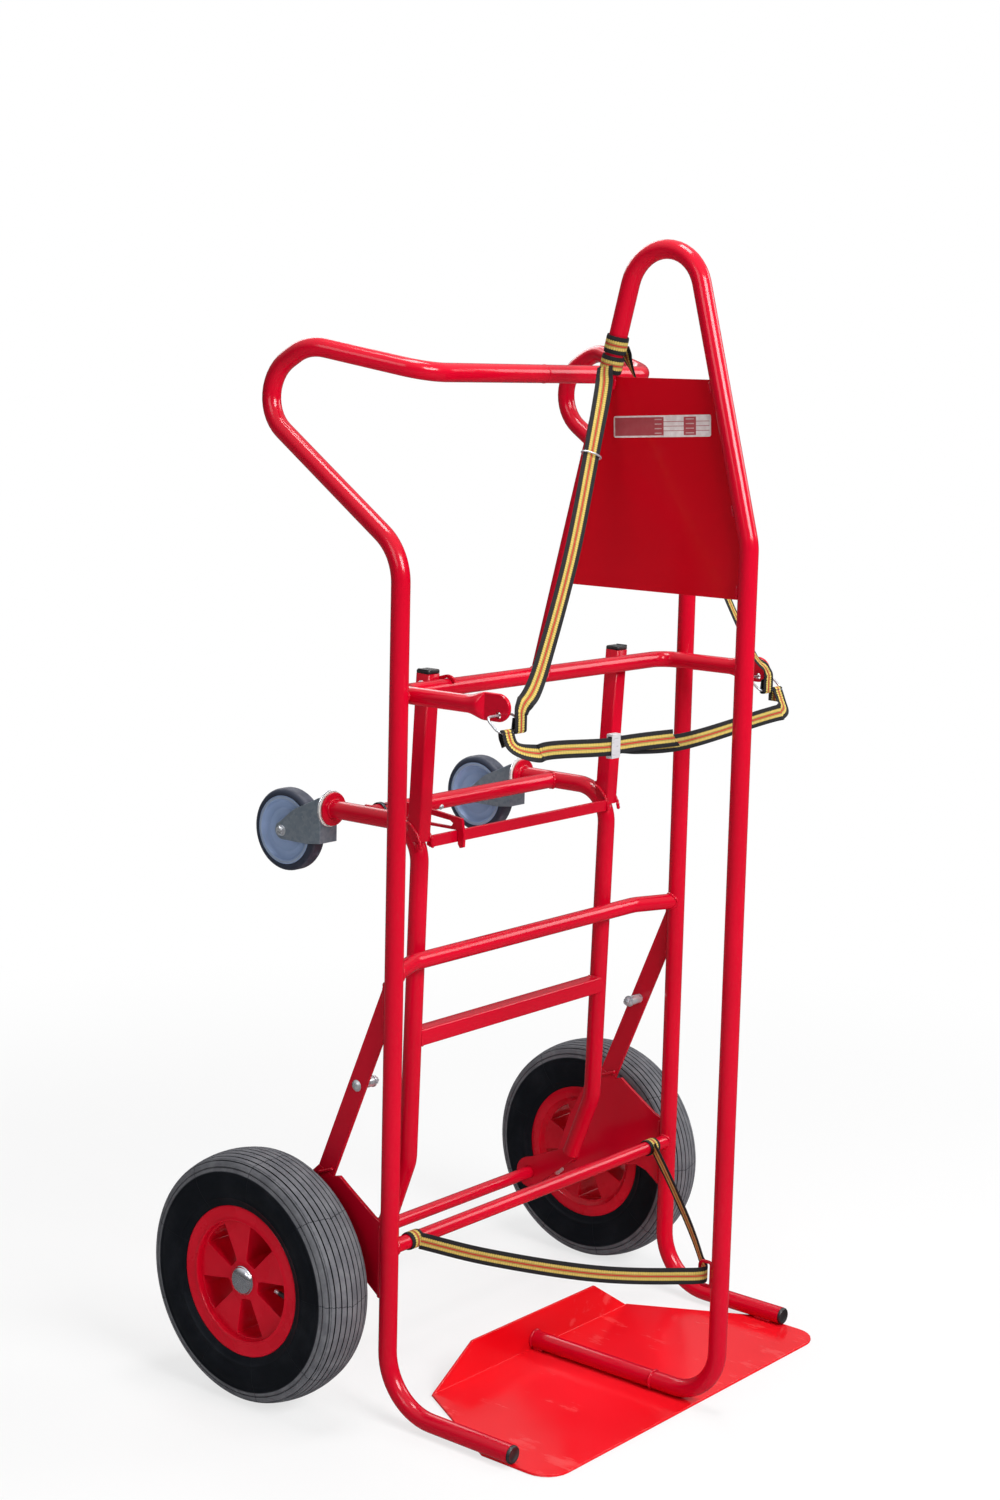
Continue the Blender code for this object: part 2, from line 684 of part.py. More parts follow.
bracket_outline += [
    (AXLE_Y + 0.007, (AXLE_Z + outer_end[1]) / 2 - 0.008), (outer_end[0] + 0.030, outer_end[1] - 0.028),
    (outer_end[0] + under[0], outer_end[1] + under[1]),
    (inner_end[0] + under[0], inner_end[1] + under[1]),
    (inner_end[0] - 0.012, inner_end[1] + 0.003), (inner_end[0] - 0.031, inner_end[1] - 0.010),
    (inner_end[0] - 0.058, inner_end[1] - 0.027), (inner_end[0] - 0.081, inner_end[1] - 0.042),
]
for side, label in ((-1, "left"), (1, "right")):
    x = side * FRAME_HALF
    flat("axle_bracket_" + label, bracket_outline, BRACKET_T, "red_paint", at=(x, 0, 0),
         holes=[bore((AXLE_Y, AXLE_Z), AXLE_R)])
    flat("brace_" + label, brace_outline, BRACE_T, "red_paint", at=(x, 0, 0),
         holes=[bore((bolt_y, bolt_z), BOLT_R, 12)])
    face = BRACE_T / 2 + GAP
    bolt_profile = [
        (0.0, face + 0.0045), (BOLT_HEAD_R * 0.5, face + 0.0040), (BOLT_HEAD_R * 0.85, face + 0.0025),
        (BOLT_HEAD_R, face + 0.0008), (BOLT_HEAD_R, face), (BOLT_R, face), (BOLT_R, -face),
        (0.0075, -face), (0.0075, -0.029), (0.009, -0.029), (0.009, -0.031), (0.0065, -0.031),
        (0.0065, -0.037), (BOLT_R, -0.037), (BOLT_R, -0.040), (0.0, -0.040),
    ]
    bolt = turned("brace_bolt_" + label, bolt_profile, "zinc", (x, bolt_y, bolt_z), steps=12, closed=False)
    bolt.matrix_world = (Matrix.Translation((x, bolt_y, bolt_z)) @ (TURN_X if side > 0 else
                         Matrix.Rotation(math.pi, 4, "Z") @ TURN_X))

# Main wheels: a ribbed pneumatic tyre on a moulded rim with five windows
def tyre_profile():
    """The tyre's section: tread with grooves, bulged walls, beads on the rim seat."""
    tread_half = 0.0395
    grooves = [-0.0225, -0.0075, 0.0075, 0.0225]
    groove_half = 0.0016
    groove_depth = 0.003

    def crown(x):
        return WHEEL_R - 0.0065 * (x / tread_half) ** 2

    outer = [(WHEEL_R - 0.0082, tread_half)]
    for x in reversed(grooves):
        outer += [(crown(x), x + groove_half), (crown(x) - groove_depth, x), (crown(x), x - groove_half)]
    outer.append((WHEEL_R - 0.0082, -tread_half))
    wall = [(WHEEL_R - 0.0190, 0.0450), (WHEEL_R - 0.0370, TYRE_HALF_W), (WHEEL_R - 0.0550, 0.0455),
            (RIM_LIP_R + 0.0035, 0.0405), (RIM_LIP_R + 0.0005, RIM_HALF_W - 0.0005)]
    bead = RIM_HALF_W - RIM_LIP_T - GAP
    seat = RIM_SEAT_R + GAP
    left = [(r, x) for r, x in wall] + [(RIM_LIP_R + 0.0005, bead), (seat, bead)]
    right = [(r, -x) for r, x in left]
    return outer + right + list(reversed(left))


rim_bore = (AXLE_R + GAP) / math.cos(math.pi / WHEEL_STEPS)
rim_profile = [
    (RIM_LIP_R, RIM_HALF_W), (RIM_LIP_R, RIM_HALF_W - RIM_LIP_T), (RIM_SEAT_R, RIM_HALF_W - RIM_LIP_T),
    (RIM_SEAT_R, RIM_LIP_T - RIM_HALF_W), (RIM_LIP_R, RIM_LIP_T - RIM_HALF_W), (RIM_LIP_R, -RIM_HALF_W),
    (RIM_MOUTH_R, -RIM_HALF_W), (RIM_THROAT_R, WEB_BACK), (HUB_R, WEB_BACK), (HUB_R, -HUB_HALF_W),
    (rim_bore, -HUB_HALF_W), (rim_bore, HUB_HALF_W), (HUB_R, HUB_HALF_W), (HUB_R, HUB_HALF_W - 0.003),
    (RIM_THROAT_R, WEB_FRONT), (RIM_MOUTH_R, RIM_HALF_W),
]
for side, label in ((-1, "left"), (1, "right")):
    place = (side * WHEEL_X, AXLE_Y, AXLE_Z)
    facing = TURN_X if side > 0 else Matrix.Rotation(math.pi, 4, "Z") @ TURN_X
    tyre = apply_modifiers(turned("tyre_" + label, tyre_profile(), "tyre_rubber", place, steps=WHEEL_STEPS))
    tyre.matrix_world = Matrix.Translation(place) @ facing
    smooth(tyre)
    rim = apply_modifiers(turned("rim_" + label, rim_profile, "red_plastic", place, steps=WHEEL_STEPS))
    rim.matrix_world = Matrix.Translation(place) @ facing
    for k in range(WINDOW_COUNT):
        middle = 180.0 - math.degrees(WINDOW_FIRST) - 360.0 * k / WINDOW_COUNT
        half = math.degrees(WINDOW_HALF)
        window = arc((0, 0), WINDOW_IN_R, middle - half, middle + half, 2)
        window += arc((0, 0), WINDOW_OUT_R, middle + half, middle - half, 3)
        window = [(AXLE_Y + y, AXLE_Z + z) for y, z in window]
        cutter = as_cutter(to_mesh(flat("cut_window_%s_%d" % (label, k), window, 2 * HUB_HALF_W - 0.004, None,
                                        at=(side * WHEEL_X, 0, 0))))
        cut(rim, cutter)
    smooth(rim)
    cap_profile = [(0.0, CAP_H), (CAP_R * 0.35, CAP_H * 0.94), (CAP_R * 0.65, CAP_H * 0.74),
                   (CAP_R * 0.88, CAP_H * 0.42), (CAP_R, CAP_H * 0.14), (CAP_R, 0.0), (0.0, 0.0)]
    cap = turned("hub_cap_" + label, cap_profile, "chrome", place, steps=20, closed=False)
    cap.matrix_world = Matrix.Translation((side * (axle_end + GAP), AXLE_Y, AXLE_Z)) @ facing

# Folding castor frame: two bent legs that swing on the axle
foot_dir = (math.sin(LEG_FOOT_LEAN), -math.cos(LEG_FOOT_LEAN))
leg_foot = (LEG_KINK_Y + foot_dir[0] * LEG_FOOT_LENGTH, LEG_KINK_Z + foot_dir[1] * LEG_FOOT_LENGTH)
leg_corners = [
    (-LEG_X, leg_foot[0], leg_foot[1]), (-LEG_X, LEG_KINK_Y, LEG_KINK_Z), (-LEG_X, LEG_TOP_Y, LEG_TOP_Z),
    (-LEG_X, FLANGE_Y, LEG_TOP_Z),
]
leg_path = bent_path(leg_corners, [LEG_KINK_R, LEG_TOP_R])
leg_cut = {}
for label, path in (("left", leg_path), ("right", mirror_x(leg_path))):
    tube("leg_tube_" + label, path, TUBE_R, "red_paint")
    leg_cut[label] = as_cutter(to_mesh(tube("cut_leg_" + label, path, TUBE_R + GAP)))

# Members that join the two legs
leg_cross = member("leg_cross_tube", [(-LEG_X, LEG_CROSS_Y, LEG_TOP_Z), (LEG_X, LEG_CROSS_Y, LEG_TOP_Z)],
                   LEG_CROSS_R)


def leg_y(z):
    return LEG_KINK_Y + (LEG_TOP_Y - LEG_KINK_Y) * (z - LEG_KINK_Z) / (LEG_TOP_Z - LEG_KINK_Z)


low_member = box("leg_square_member", (2 * LEG_X, SQUARE, SQUARE), (0, leg_y(LOW_MEMBER_Z), LOW_MEMBER_Z),
                 "red_paint")
for piece in (leg_cross, low_member):
    cut(piece, leg_cut["left"])
    cut(piece, leg_cut["right"])
smooth(leg_cross)
bar_half = LEG_X - SQUARE / 2 - GAP
box("leg_flat_bar", (2 * bar_half, BAR_FLAT_T, BAR_FLAT_H), (0, BAR_FLAT_Y, BAR_FLAT_TOP_Z - BAR_FLAT_H / 2),
    "red_paint")

# Square posts that stand on the legs' upper bends and lean on the hoop when folded
bend_y = LEG_TOP_Y + LEG_TOP_R
bend_z = LEG_TOP_Z - LEG_TOP_R


def post_y(z):
    return POST_FOOT_Y + (POST_HEAD_Y - POST_FOOT_Y) * (z - POST_FOOT_Z) / (HOOP_Z - POST_FOOT_Z)


post_back = post_y(POST_FOOT_Z) + SQUARE / 2
seat_arc = [p for p in arc((bend_y, bend_z), LEG_TOP_R, 170, 100, 14) if p[0] < post_back - 0.001]
post_low_z = LEG_TOP_Z - 0.033
post_outline = [(post_y(post_low_z) - SQUARE / 2, post_low_z)] + seat_arc + [
    (post_back, bend_z + math.sqrt(LEG_TOP_R ** 2 - (bend_y - post_back) ** 2)),
    (post_y(POST_TOP_Z) + SQUARE / 2, POST_TOP_Z), (post_y(POST_TOP_Z) - SQUARE / 2, POST_TOP_Z),
]
pin_y = post_y(PIN_Z)
for side, label in ((-1, "left"), (1, "right")):
    holes = [bore((pin_y, PIN_Z), BOLT_R, 12)] if side < 0 else []
    post = to_mesh(flat("post_" + label, post_outline, SQUARE, None, at=(side * LEG_X, 0, 0), holes=holes))
    post.data.materials.append(material("post_%s_red_paint" % label, *FINISHES["red_paint"]))
    cut(post, leg_cut[label])
    box("post_cap_" + label, (SQUARE, SQUARE, POST_CAP_H),
        (side * LEG_X, post_y(POST_TOP_Z) - 0.0002, POST_TOP_Z + GAP + POST_CAP_H / 2), "black_plastic",
        bevel=0.0015)

    # Lug with an eye on the axle, and the flange that carries the castor
    seat = (leg_foot[0] + foot_dir[0] * GAP, leg_foot[1] + foot_dir[1] * GAP)
    wing = (math.cos(LEG_FOOT_LEAN) * TUBE_R, math.sin(LEG_FOOT_LEAN) * TUBE_R)
    lug = [(seat[0] + wing[0], seat[1] + wing[1]), (seat[0] - wing[0], seat[1] - wing[1])]
    lug += arc((AXLE_Y, AXLE_Z), LUG_EYE_R, 245, 445, 12)
    flat("leg_lug_" + label, lug, LUG_T, "red_paint", at=(side * LEG_X, 0, 0),
         holes=[bore((AXLE_Y, AXLE_Z), AXLE_R)])
    turned("leg_flange_" + label, [
        (0.0, FLANGE_T), (FLANGE_R - 0.001, FLANGE_T), (FLANGE_R, FLANGE_T - 0.001), (FLANGE_R, 0.001),
        (FLANGE_R - 0.001, 0.0), (0.0, 0.0),
    ], "red_paint", (side * LEG_X, FLANGE_Y + GAP, LEG_TOP_Z), TURN_Y, 24, False)

# Hook that holds the folded frame to the hoop, on a pin through the left post
inboard = LEG_X - SQUARE / 2
hook_x = -inboard + GAP + HOOK_T / 2
hook_in = HOOP_R + 2 * GAP
hook_out = HOOP_R + 0.0055
hook_outline = arc((HOOP_Y, HOOP_Z), hook_in, -8, 150, 14) + arc((HOOP_Y, HOOP_Z), hook_out, 150, 75, 8)
hook_outline += arc((pin_y, PIN_Z), 0.0095, 105, -120, 10)
flat("stow_hook", hook_outline, HOOK_T, "red_paint", at=(hook_x, 0, 0), holes=[bore((pin_y, PIN_Z), BOLT_R, 12)])
pin_head = -(LEG_X + SQUARE / 2 + GAP)
pin_tail = hook_x + HOOK_T / 2 + GAP
pin_profile = [
    (0.0, pin_tail + 0.006), (0.0062, pin_tail + 0.006), (0.0062, pin_tail), (BOLT_R, pin_tail),
    (BOLT_R, pin_head), (0.0065, pin_head), (0.0065, pin_head - 0.0015), (0.0045, pin_head - 0.0040),
    (0.0, pin_head - 0.0048),
]
turned("hook_pin", pin_profile, "zinc", (0, pin_y, PIN_Z), steps=12, closed=False)

# Latch lever: a slotted plate on the round cross tube, its nose over the flat bar
eye = (LEG_CROSS_Y, LEG_TOP_Z)
lever_low = BAR_FLAT_TOP_Z + GAP
nose_back = BAR_FLAT_Y - BAR_FLAT_T / 2 - 0.0008
lever_outline = [
    (nose_back, lever_low), (nose_back, BAR_FLAT_TOP_Z - BAR_FLAT_H - 0.003),
    (nose_back - 0.004, lever_low - 0.026),
    (LEVER_NOSE_Y - 0.002, lever_low - 0.024), (LEVER_NOSE_Y - 0.003, lever_low - 0.006),
    (LEVER_NOSE_Y + 0.002, LEG_TOP_Z + 0.0025), (LEG_CROSS_Y - 0.069, LEG_TOP_Z + 0.0085),
] + arc(eye, 0.0195, 140, -125, 14) + [(LEG_CROSS_Y - 0.066, lever_low)]
lever_slot = [(LEG_CROSS_Y - y, LEG_TOP_Z + z) for y, z in (
    (0.106, -0.0115), (0.038, -0.0115), (0.0325, -0.0065), (0.0325, -0.0005), (0.038, 0.0025), (0.104, -0.0030),
    (0.1095, -0.0065))]
flat("latch_lever", lever_outline, LEVER_T, "red_paint", at=(-LEVER_X, 0, 0),
     holes=[bore(eye, LEG_CROSS_R, 24), lever_slot])

# Castors, hanging from their swivels
axle_z = LEG_TOP_Z - CASTOR_TRAIL
head_y = FLANGE_Y + FLANGE_T + 2 * GAP
crown_y = head_y + HEAD_T + GAP
for side, label in ((-1, "left"), (1, "right")):
    x = side * LEG_X
    turned("castor_head_" + label, [
        (0.0, HEAD_T), (HEAD_R - 0.004, HEAD_T), (HEAD_R, HEAD_T - 0.0035), (HEAD_R, 0.0012),
        (HEAD_R - 0.0012, 0.0), (0.0, 0.0),
    ], "zinc", (x, head_y, LEG_TOP_Z), TURN_Y, 24, False)
    inner = FORK_HALF - FORK_T
    fork_end = CASTOR_AXLE_Y + 0.020
    fork = to_mesh(flat("castor_fork_" + label, [
        (x - FORK_HALF, crown_y), (x + FORK_HALF, crown_y), (x + FORK_HALF, fork_end), (x + inner, fork_end),
        (x + inner, crown_y + FORK_CROWN_T), (x - inner, crown_y + FORK_CROWN_T), (x - inner, fork_end),
        (x - FORK_HALF, fork_end),
    ], 0.200, None, UPRIGHT, (0, 0, LEG_TOP_Z)))
    fork.data.materials.append(material("castor_fork_%s_zinc" % label, *FINISHES["zinc"]))
    side_view = [
        (crown_y - 0.001, LEG_TOP_Z + 0.017), (crown_y - 0.001, axle_z - 0.010),
        (crown_y + 0.028, axle_z - 0.0135),
    ] + arc((CASTOR_AXLE_Y, axle_z), 0.0135, 268, 430, 8) + [
        (crown_y + 0.055, axle_z + 0.035), (crown_y + 0.020, LEG_TOP_Z + 0.009),
        (crown_y + 0.004, LEG_TOP_Z + 0.017),
    ]
    cheeks = as_cutter(to_mesh(flat("cut_cheeks_" + label, side_view, 3 * FORK_HALF, None, at=(x, 0, 0),
                                    holes=[bore((CASTOR_AXLE_Y, axle_z), BOLT_R, 12)])))
    cut(fork, cheeks, "INTERSECT")
    place = (x, CASTOR_AXLE_Y, axle_z)
    hub_bore = (BOLT_R + GAP) / math.cos(math.pi / 12)
    turned("castor_hub_" + label, [
        (0.0520, 0.0135), (0.0520, -0.0135), (0.0460, -0.0135), (0.0430, -0.0080), (0.0180, -0.0090),
        (0.0140, -0.0150), (hub_bore, -0.0150), (hub_bore, 0.0150), (0.0140, 0.0150), (0.0180, 0.0090),
        (0.0430, 0.0080), (0.0460, 0.0135),
    ], "castor_plastic", place, TURN_X, CASTOR_STEPS)
    turned("castor_tread_" + label, [
        (CASTOR_R, 0.0070), (CASTOR_R, -0.0070), (CASTOR_R - 0.0030, -0.0125),
        (CASTOR_R - 0.0055, -CASTOR_HALF_W + 0.0007),
        (0.0520 + 2 * GAP, -CASTOR_HALF_W + 0.0007), (0.0520 + 2 * GAP, CASTOR_HALF_W - 0.0007),
        (CASTOR_R - 0.0055, CASTOR_HALF_W - 0.0007), (CASTOR_R - 0.0030, 0.0125),
    ], "castor_rubber", place, TURN_X, CASTOR_STEPS)
    out = FORK_HALF + GAP
    turned("castor_bolt_" + label, [
        (0.0, out + 0.0062), (0.0060, out + 0.0062), (0.0072, out + 0.0050), (0.0072, out), (BOLT_R, out),
        (BOLT_R, -out), (0.0072, -out), (0.0072, -out - 0.0050), (0.0060, -out - 0.0062), (0.0, -out - 0.0062),
    ], "zinc", place, TURN_X, 12, False)

# Strap rings: bent wire through the eyes of the arms, tilted forward and down
ring_down = Vector((0, -math.cos(RING_TILT), -math.sin(RING_TILT)))
eye_z = HOOP_Z - EYE_DROP
for side, label in ((-1, "left"), (1, "right")):
    hub = Vector((side * HOOP_HALF, EYE_Y, eye_z))
    wide = Vector((RING_HALF_W, 0, 0))
    low = ring_down * RING_DEPTH
    middle = (hub - wide + hub - wide + low) / 2
    loop = bent_path([middle, hub - wide, hub + wide, hub + wide + low, hub - wide + low, middle],
                     [RING_CORNER_R] * 4, 4)
    tube("strap_ring_" + label, loop[:-1], RING_WIRE_R, "zinc", sides=8, closed=True)

# Waist strap: two lengths that overlap in a metal sleeve, the front one with a free end
bar = Vector((HOOP_HALF, EYE_Y, eye_z)) + ring_down * RING_DEPTH
seat_off = RING_WIRE_R + GAP + STRAP_T / 2
outer_x = bar.x + 0.0135
inner_x = bar.x - 0.0135
waist_y = bar.y - 0.030
layer = (STRAP_T + GAP) / 2
buckle_y = waist_y - 0.010
buckle_z = bar.z - 0.033
buckle_x = -BUCKLE_SHARE * outer_x


def ring_leave(side):
    """Knots where the waist strap leaves the ring bar, lying on its lower front side."""
    return [
        (side * outer_x, bar.y - seat_off, bar.z - 0.001, -side, 0, 0),
        (side * outer_x, bar.y - seat_off - 0.006, bar.z - 0.014, -side, 0, 0.1),
        (side * (outer_x - 0.030), waist_y, bar.z - 0.028, -side * 0.55, 0.2, 0.75),
    ]


sleeve_half = BUCKLE_L / 2
strap("waist_strap_left", ring_leave(-1) + [
    (0.080 - outer_x, waist_y - 0.006, buckle_z + 0.006, 0, 0, 1),
    (buckle_x - sleeve_half - 0.006, buckle_y - layer, buckle_z, 0, 0, 1),
    (buckle_x + sleeve_half + 0.006, buckle_y - layer, buckle_z, 0, 0, 1),
    (buckle_x + 0.060, buckle_y - layer - 0.003, buckle_z, 0, 0, 1),
    (buckle_x + TAIL_L, buckle_y - layer - 0.006, buckle_z - 0.002, 0, 0, 1),
], steps=5)
strap("waist_strap_right", [
    (buckle_x - sleeve_half * 0.6, buckle_y + layer, buckle_z, 0, 0, 1),
    (buckle_x + sleeve_half + 0.006, buckle_y + layer, buckle_z, 0, 0, 1),
    (buckle_x + 0.060, buckle_y + layer + 0.001, buckle_z - 0.006, 0, 0, 1),
    (0.062 * outer_x, buckle_y + layer, buckle_z - 0.012, 0, 0, 1),
    (outer_x - 0.095, waist_y - 0.006, buckle_z + 0.002, 0, 0, 1),
] + list(reversed(ring_leave(1))), steps=5)
wall = 0.0015
slot_y = 2 * layer + STRAP_T / 2 + GAP
sleeve = to_mesh(flat("buckle", [
    (-slot_y - wall, -BUCKLE_H / 2), (slot_y + wall, -BUCKLE_H / 2), (slot_y + wall, BUCKLE_H / 2),
    (-slot_y - wall, BUCKLE_H / 2),
], BUCKLE_L, None, at=(buckle_x, buckle_y, buckle_z), holes=[[
    (-slot_y, -STRAP_W / 2 - 0.001), (slot_y, -STRAP_W / 2 - 0.001), (slot_y, STRAP_W / 2 + 0.001),
    (-slot_y, STRAP_W / 2 + 0.001),
]]))
sleeve.data.materials.append(material("buckle_zinc", *FINISHES["zinc"]))

# Shoulder straps: each ends in a sewn loop round the bow's rear leg, above the panel
loop_inner = TUBE_R + 0.0008
for side, label, band_z in ((-1, "left", PANEL_TOP_Z + 0.0180), (1, "right", PANEL_TOP_Z + 0.0455)):
    leg_c = Vector((0, bow_rear_y(band_z), band_z))
    tilt = Matrix.Rotation(math.atan(bow_rear_slope), 4, "X")
    band = apply_modifiers(turned("neck_loop_" + label, [
        (loop_inner + STRAP_T, STRAP_W / 2), (loop_inner + STRAP_T, -STRAP_W / 2), (loop_inner, -STRAP_W / 2),
        (loop_inner, STRAP_W / 2),
    ], None, leg_c, tilt, 20))
    low = Vector((inner_x, bar.y - 0.002, bar.z + seat_off))
    high = Vector((loop_inner + STRAP_T / 2, leg_c.y, band_z - 0.004))
    knots = [(side * low.x, low.y, low.z, side, 0.0, 0.0),
             (side * (low.x - 0.004), low.y, low.z + 0.028, side, 0.1, -0.2)]
    for share, lean_x, lean_z in ((0.2, 0.8, -0.55), (0.5, 0.8, -0.55), (0.84, 0.7, -0.6)):
        slack = 4 * share * (1 - share)
        place = low.lerp(high, share)
        knots.append((side * place.x, place.y - SHOULDER_BOW * slack, place.z - SHOULDER_SAG * slack,
                      side * lean_x, 0.05, lean_z))
    knots.append((side * high.x, high.y, high.z, side * 0.12, 0.9, -0.1))
    shoulder = strap("shoulder_strap_" + label, knots, steps=5)
    join_into(shoulder, [band])

# Lower strap: round the lower cross tube at each side and through the guide
low_start = Vector((LOWER_STRAP_SHARE * FRAME_HALF, -(LOWER_CROSS_R + GAP + STRAP_T / 2), LOWER_CROSS_Z))
guide_mid = Vector((0, guide_y + GUIDE_DEPTH / 2, GUIDE_Z - 0.0015))
half_run = []
for share in (0.0, 0.2, 0.58, 0.88):
    slack = 4 * share * (1 - share)
    place = low_start.lerp(guide_mid, share)
    half_run.append((place.x, place.y - LOWER_BOW * slack, place.z - LOWER_SAG * slack, 0, 0, 1))
strap("lower_strap", [(-x, y, z, *w) for x, y, z, *w in half_run] + [(*guide_mid, 0, 0, 1)]
      + list(reversed(half_run)), steps=5)

# Moving groups hang on empties that stand on their joint axes
def pivot(name, at, members, carrier=None):
    """An empty on a joint axis, with the pieces that turn about it as its children."""
    empty = add_object(name, None)
    empty.empty_display_size = 0.03
    empty.matrix_world = Matrix.Translation(at)
    bpy.context.view_layer.update()
    for child in members:
        child.parent = empty
        child.matrix_parent_inverse = empty.matrix_world.inverted()
    if carrier:
        empty.parent = carrier
        empty.matrix_parent_inverse = carrier.matrix_world.inverted()
    bpy.context.view_layer.update()
    return empty


def named(*names):
    return [parts.objects[name] for name in names]


leg_pivot = pivot("leg_frame_pivot", (0, AXLE_Y, AXLE_Z), named(
    "leg_tube_left", "leg_tube_right", "leg_cross_tube", "leg_square_member", "leg_flat_bar", "post_left",
    "post_right", "post_cap_left", "post_cap_right", "leg_lug_left", "leg_lug_right", "leg_flange_left",
    "leg_flange_right", "hook_pin"))
pivot("stow_hook_pivot", (hook_x, pin_y, PIN_Z), named("stow_hook"), leg_pivot)
pivot("latch_lever_pivot", (-LEVER_X, *eye), named("latch_lever"), leg_pivot)
for side, label in ((-1, "left"), (1, "right")):
    pivot("wheel_pivot_" + label, (side * WHEEL_X, AXLE_Y, AXLE_Z), named("tyre_" + label, "rim_" + label))
    pivot("ring_pivot_" + label, (side * HOOP_HALF, EYE_Y, eye_z), named("strap_ring_" + label))
    yoke = pivot("castor_swivel_" + label, (side * LEG_X, head_y, LEG_TOP_Z), named(
        "castor_head_" + label, "castor_fork_" + label, "castor_bolt_" + label), leg_pivot)
    pivot("castor_pivot_" + label, (side * LEG_X, CASTOR_AXLE_Y, axle_z), named(
        "castor_hub_" + label, "castor_tread_" + label), yoke)
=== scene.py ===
import math

import bmesh
import bpy
from mathutils import Matrix, Vector


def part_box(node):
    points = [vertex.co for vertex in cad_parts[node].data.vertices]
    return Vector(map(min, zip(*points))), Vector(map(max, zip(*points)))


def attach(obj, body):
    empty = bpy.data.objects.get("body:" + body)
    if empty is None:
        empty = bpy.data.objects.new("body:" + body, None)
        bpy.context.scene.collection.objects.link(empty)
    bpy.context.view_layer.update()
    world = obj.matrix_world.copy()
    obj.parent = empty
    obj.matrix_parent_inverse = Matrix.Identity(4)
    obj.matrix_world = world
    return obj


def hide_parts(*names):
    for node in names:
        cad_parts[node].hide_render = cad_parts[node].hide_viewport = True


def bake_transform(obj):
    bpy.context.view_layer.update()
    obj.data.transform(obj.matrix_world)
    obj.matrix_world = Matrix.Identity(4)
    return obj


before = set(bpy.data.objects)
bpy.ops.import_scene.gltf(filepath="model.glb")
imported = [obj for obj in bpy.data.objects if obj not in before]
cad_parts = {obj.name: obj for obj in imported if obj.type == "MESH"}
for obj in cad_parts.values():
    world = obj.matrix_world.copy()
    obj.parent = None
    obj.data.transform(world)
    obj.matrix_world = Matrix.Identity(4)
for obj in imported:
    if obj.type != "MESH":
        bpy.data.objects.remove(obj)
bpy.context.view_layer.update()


# Floor, backdrop and light.
# A pale studio floor and a white backdrop, one large lamp in front and weaker ones at the sides, behind and
# above. The camera sees the backdrop plain white; gloss and metal see a dimmer one, brighter above.
def arithmetic(operation, swapped=False):
    """A Python operator that adds a Math node."""
    def operator(self, other):
        return self.math(operation, *((other, self) if swapped else (self, other)))

    return operator


class Wire:
    """One output of a node; arithmetic on it adds Math nodes to the same material."""

    __add__ = __radd__ = arithmetic("ADD")
    __sub__ = arithmetic("SUBTRACT")
    __rsub__ = arithmetic("SUBTRACT", True)
    __mul__ = __rmul__ = arithmetic("MULTIPLY")
    __pow__ = arithmetic("POWER")
    __lt__ = arithmetic("LESS_THAN")
    most = arithmetic("MAXIMUM")

    def __init__(self, finish, socket):
        self.finish = finish
        self.socket = socket

    def math(self, operation, *values):
        return self.finish.node("ShaderNodeMath", {"operation": operation}, dict(enumerate(values)))

    def __abs__(self):
        return self.math("ABSOLUTE", self)

    def fraction(self):
        return self.math("FRACT", self)


class Finish:
    """A material, its surface shader and its slot, and the one way to add any other node to it."""

    def __init__(self, name, slot="frame_paint", tree=None):
        self.material = None
        self.slot = slot
        if tree is None:
            self.material = bpy.data.materials.new(name)
            self.material.use_nodes = True
            tree = self.material.node_tree
        self.tree = tree
        self.surface = tree.nodes.get("Principled BSDF")

    def link(self, value, socket):
        if isinstance(value, Wire):
            self.tree.links.new(value.socket, socket)
        elif isinstance(value, tuple) and len(value) == 3 and socket.type == "RGBA":
            socket.default_value = (*value, 1.0)
        else:
            socket.default_value = value

    def node(self, kind, settings=None, values=None, output=0):
        made = self.tree.nodes.new(kind)
        for name, value in (settings or {}).items():
            setattr(made, name, value)
        for name, value in (values or {}).items():
            self.link(value, made.inputs[name])
        return Wire(self, made.outputs[output])

    def mix(self, share, low, high):
        return self.node("ShaderNodeMix", {"data_type": "RGBA"}, {0: share, 6: low, 7: high}, 2)

    def place(self):
        """The point on the object, in metres, in the frame that all the pieces share."""
        return self.node("ShaderNodeTexCoord", {}, {}, 3)

    def outputs(self, kind, *names, **values):
        """Several outputs of one new node."""
        first = self.node(kind, {}, values)
        return [Wire(self, first.socket.node.outputs[name]) for name in names]

    def split(self, vector):
        return self.outputs("ShaderNodeSeparateXYZ", 0, 1, 2, Vector=vector)

    def noise(self, scale, detail=3.0, roughness=0.5, stretch=None):
        where = self.place()
        if stretch:
            where = self.node("ShaderNodeVectorMath", {"operation": "MULTIPLY"}, {0: where, 1: stretch})
        return self.node("ShaderNodeTexNoise", {},
            {"Vector": where, "Scale": scale, "Detail": detail, "Roughness": roughness})

    def ease(self, value, low, high, to_low=0.0, to_high=1.0):
        """A smooth step of a value between two limits."""
        return self.node("ShaderNodeMapRange", {"interpolation_type": "SMOOTHSTEP"},
            {0: value, 1: low, 2: high, 3: to_low, 4: to_high})

    def bump(self, height, distance, strength=1.0):
        return self.node("ShaderNodeBump", {},
            {"Height": height, "Distance": distance, "Strength": strength})

    def coat(self, **sockets):
        """Set the surface shader: numbers and colours directly, wires as links."""
        for name, value in sockets.items():
            self.link(value, self.surface.inputs[name.replace("_", " ")])
        return self.material


floor_mesh = bpy.data.meshes.new("floor")
floor_build = bmesh.new()
bmesh.ops.create_grid(floor_build, x_segments=1, y_segments=1, size=14.0)
floor_build.to_mesh(floor_mesh)
floor_build.free()
floor = bpy.data.objects.new("floor", floor_mesh)
bpy.context.scene.collection.objects.link(floor)
floor.location = (0.0, 0.0, -0.0006)

